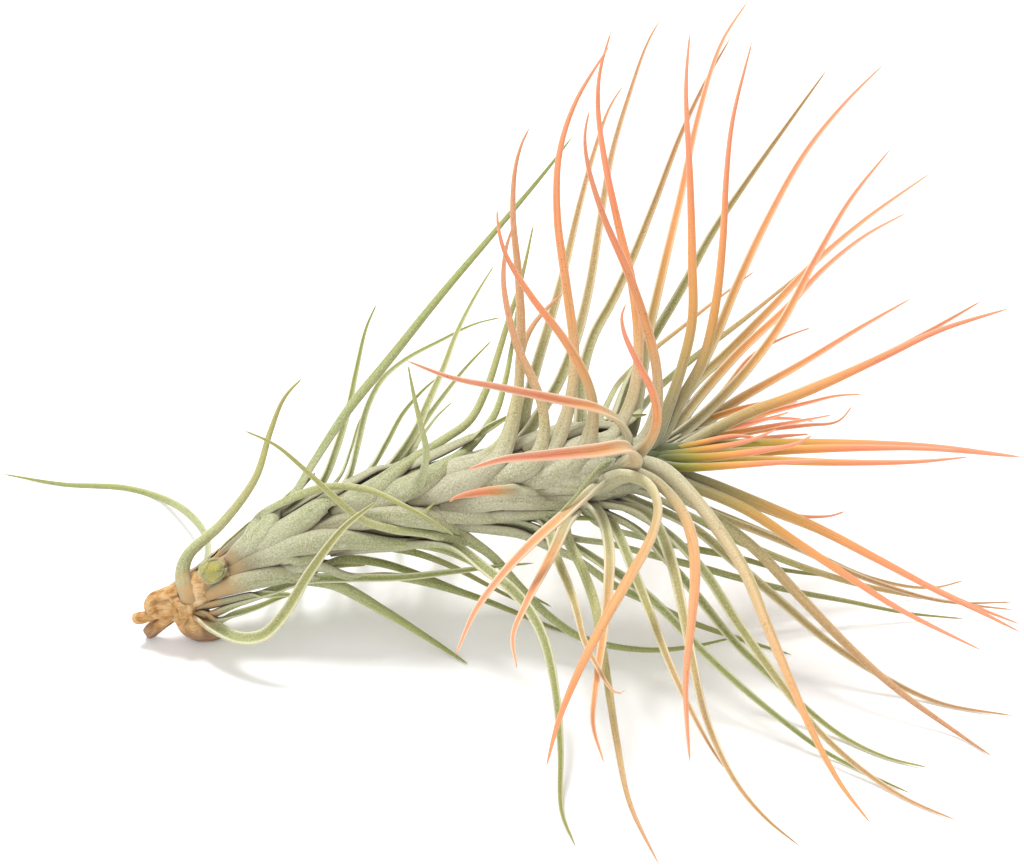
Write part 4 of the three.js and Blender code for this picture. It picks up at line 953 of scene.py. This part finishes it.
# The same with heights over the surface in mm, for what reaches down to it.
ROOT_STUMP = np.array([
    [145.5, 635, 0.9, 0.55], [147, 634, 1.0, 0.85], [151, 630.5, 1.6, 1.05], [158, 625, 2.6, 1.05],
    [168, 617, 4.2, 1.1], [178, 608, 6.2, 1.3],
])
REST_LUMP = np.array([
    [182, 598, 8.6, 1.8], [184, 608, 6.4, 1.95], [188, 617, 4.3, 2.0], [194, 624, 2.7, 2.05], [202, 629, 1.5, 1.85],
    [210, 631.5, 1.0, 1.5], [217, 633, 0.8, 1.1], [222, 634.5, 0.6, 0.6],
])
PIT = place([184.5, 594], 18.1)  # a hole where a leaf has come off
SCAR = place([196, 597], 18.5)  # the bare, cream-coloured scar beside it
SCAR_WIDTH = 1.9  # mm
TORN_SCALES = [
    leaf(1.5, 3.2, 180, 603, 180, 613, 184, 626),
    leaf(-1, 1.0, 204, 580, 207, 565, 220, 549),
]
BUD_AT = np.array([212, 571])
BUD_TOWARD = 3.8
BUD_RADII = (1.6, 1.6, 1.9)  # mm, across twice and along
BUD_CORE = 0.88  # size of the core beside these radii
BUD_SCALES = 6
BUD_HAIRS = 2200
HAIR_LENGTH = 0.4  # mm at most
HAIR_RADII = (0.035, 0.012)  # mm at its root and below its point
# Ridges of dead wood: waves round it and their size as a share of its radius.
RIDGES = ((2, 0.05), (3, 0.04), (5, 0.035), (9, 0.03), (14, 0.025), (23, 0.015))
PIT_WIDTH = 0.75  # mm
PIT_DEPTH = 0.65  # share of the way to the middle
FLAP_CURL = 1.1  # radians from the middle of a papery flap to its side
FLAP_LIFT = 0.2  # mm over the surface, least height of its middle


def rough_length(points, radii, seed, pit=None):
    """A woody length round a curve through some points. Its radius is shaken by ridges along it and
    knots across it: 1 + sum of small sines of the angle and of the place along, with seeded phases."""
    random = np.random.default_rng(seed)
    dense, knots = curve_through(points)
    lengths = lengths_along(dense)
    along = np.linspace(0, lengths[-1], 70)
    axis = read_at(along, lengths, dense)
    tangent = unit(np.gradient(axis, axis=0))
    radius = np.interp(np.interp(along, lengths, knots), np.arange(len(points)), radii)
    top = unit(np.cross(tangent, UPWARD))
    side = np.cross(top, tangent)
    angle = circle(72)
    shake = np.ones((len(along), len(angle)))
    for waves, size in RIDGES:
        phase = random.uniform(0, 2 * math.pi)
        drift = random.uniform(-0.7, 0.7)
        beat = random.uniform(0.6, 2.2)
        shake += size * np.sin(waves * angle[None] + phase + drift * along[:, None]) * (
            0.6 + 0.4 * np.sin(beat * along[:, None] + 2 * phase))
    points = around(axis, radius[:, None] * shake, top, side, angle)
    # Painted shade in the grooves between the ridges.
    crease = smooth(1.0, 0.87, shake) * 0.8
    if pit is not None:
        sunk = np.exp(-((np.linalg.norm(points - pit, axis=-1) / PIT_WIDTH) ** 2))
        points += (axis[:, None] - points) * PIT_DEPTH * sunk[..., None]
        # The pit takes painted shade too.
        crease = np.maximum(crease, smooth(0.2, 0.6, sunk))
    points[..., 2] = np.maximum(points[..., 2], 0.0)
    ends = np.maximum(axis[[0, -1]], [-np.inf, -np.inf, 0.0])
    return closed_tubes(points[None], ends[None], dry_values(points, crease))


def dry_values(points, crease):
    """Attributes of dead tissue: pale round the scar, its painted crease shade, and greyer purple-brown within about 3
    mm of the surface below.
    """
    pale = np.exp(-((np.linalg.norm(points - SCAR, axis=-1) / SCAR_WIDTH) ** 2))
    near_floor = 1 - smooth(1.4, 4.0, points[..., 2])
    return {"crease": crease[None], "pale": pale[None], "near_floor": near_floor[None]}


def papery_scales(rows, seed):
    """Flaps of dried leaf base: thin curled strips from the woody end, with frayed, wavy ends. The half
    width is half the width times (1 - t)^0.35, rippled by seeded sines, and the strip curls by a third of
    a turn."""
    random = np.random.default_rng(seed)
    parts = []
    for row in rows:
        station, start, end = leaf_seat(row)
        points = blade_points(row, start, end)
        dense, _ = curve_through(points)
        lengths = lengths_along(dense)
        t = np.linspace(0, 1, 30)
        line = read_at(t * lengths[-1], lengths, dense)
        line = np.where(line[:, 2:] < FLAP_LIFT, at_height(seen(line)[0], FLAP_LIFT), line)
        tangent = unit(np.gradient(line, axis=0))
        outward = unit(points[0] - STATIONS["point"][station])
        side = unit(np.cross(np.broadcast_to(outward, line.shape), tangent))
        inner = np.cross(side, tangent)
        v = circle(20)
        q = np.cos(v)[None]
        ripple = 1 + 0.12 * np.sin(9 * t + random.uniform(0, 6)) + 0.08 * np.sin(23 * t + random.uniform(0, 6))
        half = (row["width"] / 2 * np.maximum(1 - t, 0.02) ** 0.35 * ripple)[:, None]
        wave = 0.18 * np.sin(14 * t[:, None] + 3 * q) * t[:, None]
        stand = np.sin(v)[None] * 0.1
        x = half * np.sin(FLAP_CURL * q) / math.sin(FLAP_CURL)
        y = half * (1 - np.cos(FLAP_CURL * q)) / math.sin(FLAP_CURL) + stand + wave
        shape = line[:, None] + x[..., None] * side[:, None] + y[..., None] * inner[:, None]
        shape[..., 2] = np.maximum(shape[..., 2], FLOOR_GAP)
        # A little painted shade along the flaps' curled margins.
        values = dry_values(shape, np.broadcast_to(0.2 * np.abs(q) ** 6, x.shape))
        parts.append(closed_tubes(shape[None], line[[0, -1]][None], values))
    return parts


def bud_surface():
    """The offset bud: an ellipsoid along the stem, six pointed scales that overlap up it, and short hairs.
    A scale is a patch of a slightly larger ellipsoid, from its base up to its point, (1 - t)^0.5 wide."""
    station = int(np.argmin(np.linalg.norm(STATION_AT - BUD_AT, axis=1)))
    centre = place(BUD_AT, STATION_TOWARD[station] + BUD_TOWARD)
    axis = STATIONS["tangent"][station]
    turn = np.stack([STATIONS["top"][station], STATIONS["side"][station], axis])

    def at(latitude, longitude, size):
        local = np.stack([np.cos(latitude) * np.cos(longitude) * BUD_RADII[0],
                          np.cos(latitude) * np.sin(longitude) * BUD_RADII[1],
                          np.sin(latitude) * BUD_RADII[2] + np.zeros_like(longitude)], axis=-1)
        return centre + (local * size[..., None]) @ turn

    latitude = np.linspace(-1.45, 1.45, 20)[:, None]
    longitude = circle(28)[None]
    core = at(latitude, longitude, np.full((20, 28), BUD_CORE))
    ends = centre + np.outer([-1, 1], axis) * BUD_RADII[2] * BUD_CORE
    parts = [closed_tubes(core[None], ends[None], even_values(core.shape[:2], run=0.3, crease=0.2))]
    for k in range(BUD_SCALES):
        t = np.linspace(0, 1, 18)[:, None]
        v = circle(16)[None]
        across = np.cos(v) * 1.05 * np.sqrt(np.maximum(1 - t, 0.004)) * (0.6 + 0.4 * t)
        latitude = -1.2 + 0.16 * k + (1.35 + 0.08 * k) * t + 0 * v
        size = 0.94 + 0.04 * np.sin(v) + 0.05 * t
        shape = at(latitude, across + k * GOLDEN_ANGLE + 0 * t, size)
        # Painted shade at the base of each scale.
        shade = np.broadcast_to(np.clip(0.3 - 0.5 * t, 0, 1)[None], (1, 18, 16))
        parts.append(closed_tubes(shape[None], shape[[0, -1]].mean(1)[None],
                                  even_values(shape.shape[:2], run=0.35, tone=0.1 * k, crease=shade)))
    body = joined(parts)
    return joined([body, *hairs(body["vertices"], unit(body["vertices"] - centre), seed=41)])


def hairs(points, outward, seed):
    """Thin three-sided spikes that stand on seeded points of a surface, leaning at random by up to a
    half, each with a pointed end."""
    random = np.random.default_rng(seed)
    picked = random.integers(0, len(points), BUD_HAIRS)
    root = points[picked]
    along = unit(outward[picked] + random.uniform(-0.5, 0.5, (BUD_HAIRS, 3)))
    one = unit(np.cross(along, [0.31, 0.17, 0.93]))
    two = np.cross(along, one)
    angle = np.arange(3) * 2 * math.pi / 3
    tip = root + along * HAIR_LENGTH * random.uniform(0.4, 1, (BUD_HAIRS, 1))
    rings = np.stack([around(middle, np.full((BUD_HAIRS, 1), radius), one, two, angle)
                      for middle, radius in zip((root, tip), HAIR_RADII)], axis=1)
    ends = np.stack([root, tip], axis=1)
    values = {key: np.broadcast_to(grid, rings.shape[:3])
              for key, grid in even_values((1, 1), run=0.3, rim=1.0).items()}
    return [closed_tubes(rings, ends, values)]


# ---- What a user would change ----------------------------------------------------------------------
def length_property(label, text, default, least):
    """A length that a user can change, from its default and its least value in mm."""
    return FloatProperty(name=label, description=text, default=default * MM, min=least * MM, unit="LENGTH")


class PlantSizes(PropertyGroup):
    """Sizes of the plant's fine parts."""

    blade_thickness: length_property(
        "Blade Thickness", "Thickness of a blade at its midrib, near its sheath", 0.75, 0.1)
    tip_width: length_property("Tip Width", "Least width of a blade, at its needle tip", 0.26, 0.1)
    blade_width: FloatProperty(
        name="Blade Width", description="Width of the blades as a share of the model's",
        default=0.77, min=0.3, max=1.2, subtype="FACTOR")
    sheath_length: length_property("Sheath Length", "Length of the clasping base of a leaf", 13, 3)
    sheath_rise: length_property("Sheath Rise", "How far a sheath's free end stands off the stem", 1.2, 0)
    sheath_lean: FloatProperty(
        name="Sheath Lean", description="How much a sheath winds round the stem towards its blade",
        default=0.45, min=0.0, max=1.0, subtype="FACTOR")
    blade_twist: FloatProperty(
        name="Blade Twist", description="Largest turn of a blade about its midrib",
        default=math.radians(30), subtype="ANGLE")
    sheath_rings: IntProperty(
        name="Sheath Rings", description="Rings of a sheath's mesh", default=14, min=4)
    blade_rings: IntProperty(
        name="Blade Rings", description="Rings of a blade's mesh", default=44, min=8)
    section_points: IntProperty(
        name="Section Points", description="Points round a leaf's section", default=16, min=8)


def color_property(label, text, code):
    """A colour that a user can change, from its sRGB hex code."""
    return FloatVectorProperty(name=label, description=text, default=linear(code), size=4,
                               subtype="COLOR", min=0.0, max=1.0)


class PlantColors(PropertyGroup):
    """Colours of the living and dry tissue and of the stage."""

    silver: color_property("Silver Scales", "Flat scales that cover the sheaths", "#dcdacb")
    sheath: color_property("Sheath", "Leaf base of the upper stem under its scales", "#afac8e")
    green_sheath: color_property("Green Sheath", "Leaf base of the lower stem under its scales", "#979b6c")
    # Painted shade in the creases at the sheaths' edges and buried starts, and on the stem's core.
    crease: color_property("Crease", "Dead tissue at the sheaths' edges", "#645839")
    # Painted shade where leaf bases come close together.
    gap_shade: color_property("Dust", "Dark dust between the sheaths", "#43381a")
    sage: color_property("Sage", "Green blades near their sheath", "#a7ab78")
    moss: color_property("Moss", "Shaded green blades", "#7d8746")
    olive: color_property("Olive", "Bronze blades near their sheath", "#b3a878")
    tan: color_property("Tan", "Bronze blades further out", "#c8986a")
    orange: color_property("Orange", "Coral blades near the middle", "#e09c62")
    coral: color_property("Coral", "Coral blades near the tip", "#e58c66")
    rose: color_property("Rose", "Tips of the coral blades", "#e09476")
    heart: color_property("Heart Green", "Youngest blades at their root", "#2a3303")
    dry_pale: color_property("Papery Tan", "Dried leaf tissue", "#d2b281")
    dry_tan: color_property("Woody Tan", "Dried woody foot", "#b68649")
    # Painted shade in the cracks, grooves and hollows of the dry foot.
    dry_crease_shade: color_property("Bark Brown", "Cracks of the dry foot", "#5e3913")
    bud: color_property("Bud Green", "Fuzzy offset bud", "#aba44c")


# ---- Operators -------------------------------------------------------------------------------------
def stand(item, right, up, back, spot):
    """Puts a lamp or a camera at a spot, with its back that way, and links it to the scene."""
    item.matrix_world = Matrix([[right[i], up[i], back[i], spot[i]] for i in range(3)] + [[0, 0, 0, 1]])
    bpy.context.scene.collection.objects.link(item)


class AIRPLANT_OT_stage(Operator):
    """Make the pale floor, the soft light and the camera."""

    bl_idname = "airplant.stage"
    bl_label = "Stage"

    def execute(self, context):
        scene = context.scene
        corners = np.array([[-1, -1], [1, -1], [1, 1], [-1, 1]]) * 3.0
        mesh = bpy.data.meshes.new("floor")
        mesh.from_pydata([(x, y, -0.00002) for x, y in corners.tolist()], [], [(0, 1, 2, 3)])
        floor = bpy.data.objects.new("floor", mesh)
        scene.collection.objects.link(floor)
        paper, _, _ = new_material("matt_white_paper", {"Base Color": linear("#fcfcfc"), "Roughness": 0.9})
        mesh.materials.append(paper)

        world = bpy.data.worlds.new("soft_studio")
        world.use_nodes = True
        background = world.node_tree.nodes["Background"]
        background.inputs["Color"].default_value = (1.0, 1.0, 1.0, 1.0)
        background.inputs["Strength"].default_value = 0.8
        scene.world = world

        for name, spot, size, power in (
            ("key_over_the_back", (-0.2, 0.32, 1.0), 0.28, 9.0),
            ("front_fill", (-0.4, -1.0, 0.9), 1.2, 4.0),
        ):
            lamp = bpy.data.lights.new(name, "AREA")
            lamp.shape = "DISK"
            lamp.size = size
            lamp.energy = power
            back = unit(np.array(spot) - np.array([0, 0, 0.02]))
            right = unit(np.cross([0.0, 1.0, 0.001], back))
            stand(bpy.data.objects.new(name, lamp), right, np.cross(back, right), back, spot)

        lens = bpy.data.cameras.new("camera")
        lens.sensor_fit = "HORIZONTAL"
        lens.sensor_width = SENSOR_WIDTH
        lens.lens = SENSOR_WIDTH * DISTANCE * PIXELS_PER_MM / VIEW_WIDTH
        lens.clip_start = 0.01
        lens.clip_end = 20.0
        scene.camera = bpy.data.objects.new("camera", lens)
        stand(scene.camera, RIGHT, UPWARD, TOWARD, (TARGET + TOWARD * DISTANCE) * MM)
        scene.view_settings.view_transform = "Standard"
        return {"FINISHED"}


# Piece, node and slot, the distances along the stem that its leaves start between, where its length of stem
# starts, and its seed.
LEAFY_PIECES = (
    ("green_leaves", "green_leafy_stem", "green_leaf", -1, BRONZE_START, GREEN_START, 21),
    ("bronze_leaves", "bronze_leafy_stem", "bronze_leaf", BRONZE_START, CORAL_START, BRONZE_START, 22),
    ("coral_leaves", "coral_leafy_tip", "coral_leaf", CORAL_START, STEM_LENGTH + 1, CORAL_START, 23),
)


class AIRPLANT_OT_leafy_stem(Operator):
    """Make the stem in three lengths, with their green, bronze and coral leaves."""

    bl_idname = "airplant.leafy_stem"
    bl_label = "Leafy Stem"

    def execute(self, context):
        sizes, colors = context.scene.plant_sizes, context.scene.plant_colors
        for name, node, slot_name, start, end, stem_start, seed in LEAFY_PIECES:
            scales = scale_lines(max(start, GREEN_START), end, sizes)
            leaves = leaf_surfaces(leaves_between(start, end), scales, sizes, seed)
            surface = joined([stem_surface(stem_start, end), leaves])
            piece = make_piece(name, surface, scaly_leaf_skin(f"{slot_name}_skin", colors))
            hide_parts(node)
        return {"FINISHED"}


class AIRPLANT_OT_dry_foot(Operator):
    """Make the dry woody foot, its root stumps and its papery scales."""

    bl_idname = "airplant.dry_foot"
    bl_label = "Dry Foot"

    def execute(self, context):
        surface = joined([
            rough_length(place(BODY_LENGTH[:, :2], BODY_LENGTH[:, 2]), BODY_LENGTH[:, 3], 31, pit=PIT),
            rough_length(place(NUB[:, :2], NUB[:, 2]), NUB[:, 3], 35),
            rough_length(at_height(ROOT_STUMP[:, :2], ROOT_STUMP[:, 2]), ROOT_STUMP[:, 3], 32),
            rough_length(at_height(REST_LUMP[:, :2], REST_LUMP[:, 2]), REST_LUMP[:, 3], 33),
            *papery_scales(TORN_SCALES, 34),
        ])
        piece = make_piece("woody_foot", surface, dry_tissue("dry_fibrous_tissue", context.scene.plant_colors))
        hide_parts("dry_foot")
        return {"FINISHED"}


class AIRPLANT_OT_offset_bud(Operator):
    """Make the small fuzzy offset bud beside the foot."""

    bl_idname = "airplant.offset_bud"
    bl_label = "Offset Bud"

    def execute(self, context):
        piece = make_piece("fuzzy_bud", bud_surface(), downy_bud_skin("bud_scale_skin", context.scene.plant_colors))
        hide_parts("offset_bud")
        return {"FINISHED"}


class AIRPLANT_PT_pieces(Panel):
    """Lists the plant's pieces, sizes and colours."""

    bl_label = "Air Plant"
    bl_idname = "AIRPLANT_PT_pieces"
    bl_space_type = "VIEW_3D"
    bl_region_type = "UI"
    bl_category = "Air Plant"

    def draw(self, context):
        for operator in PIECE_OPERATORS:
            self.layout.operator(operator.bl_idname)
        for group in (context.scene.plant_sizes, context.scene.plant_colors):
            box = self.layout.box()
            for key in group.__annotations__:
                box.prop(group, key)


PIECE_OPERATORS = (
    AIRPLANT_OT_stage,
    AIRPLANT_OT_leafy_stem,
    AIRPLANT_OT_dry_foot,
    AIRPLANT_OT_offset_bud,
)
CLASSES = (PlantSizes, PlantColors, *PIECE_OPERATORS, AIRPLANT_PT_pieces)


def register():
    """Register the classes and the scene's settings."""
    for cls in CLASSES:
        bpy.utils.register_class(cls)
    bpy.types.Scene.plant_sizes = PointerProperty(type=PlantSizes)
    bpy.types.Scene.plant_colors = PointerProperty(type=PlantColors)


def unregister():
    """Remove the settings and the classes."""
    del bpy.types.Scene.plant_colors
    del bpy.types.Scene.plant_sizes
    for cls in reversed(CLASSES):
        bpy.utils.unregister_class(cls)


def main():
    """Make every piece."""
    register()
    bpy.ops.airplant.stage()
    bpy.ops.airplant.leafy_stem()
    bpy.ops.airplant.dry_foot()
    bpy.ops.airplant.offset_bud()
    bpy.context.view_layer.update()


if __name__ == "__main__":
    main()
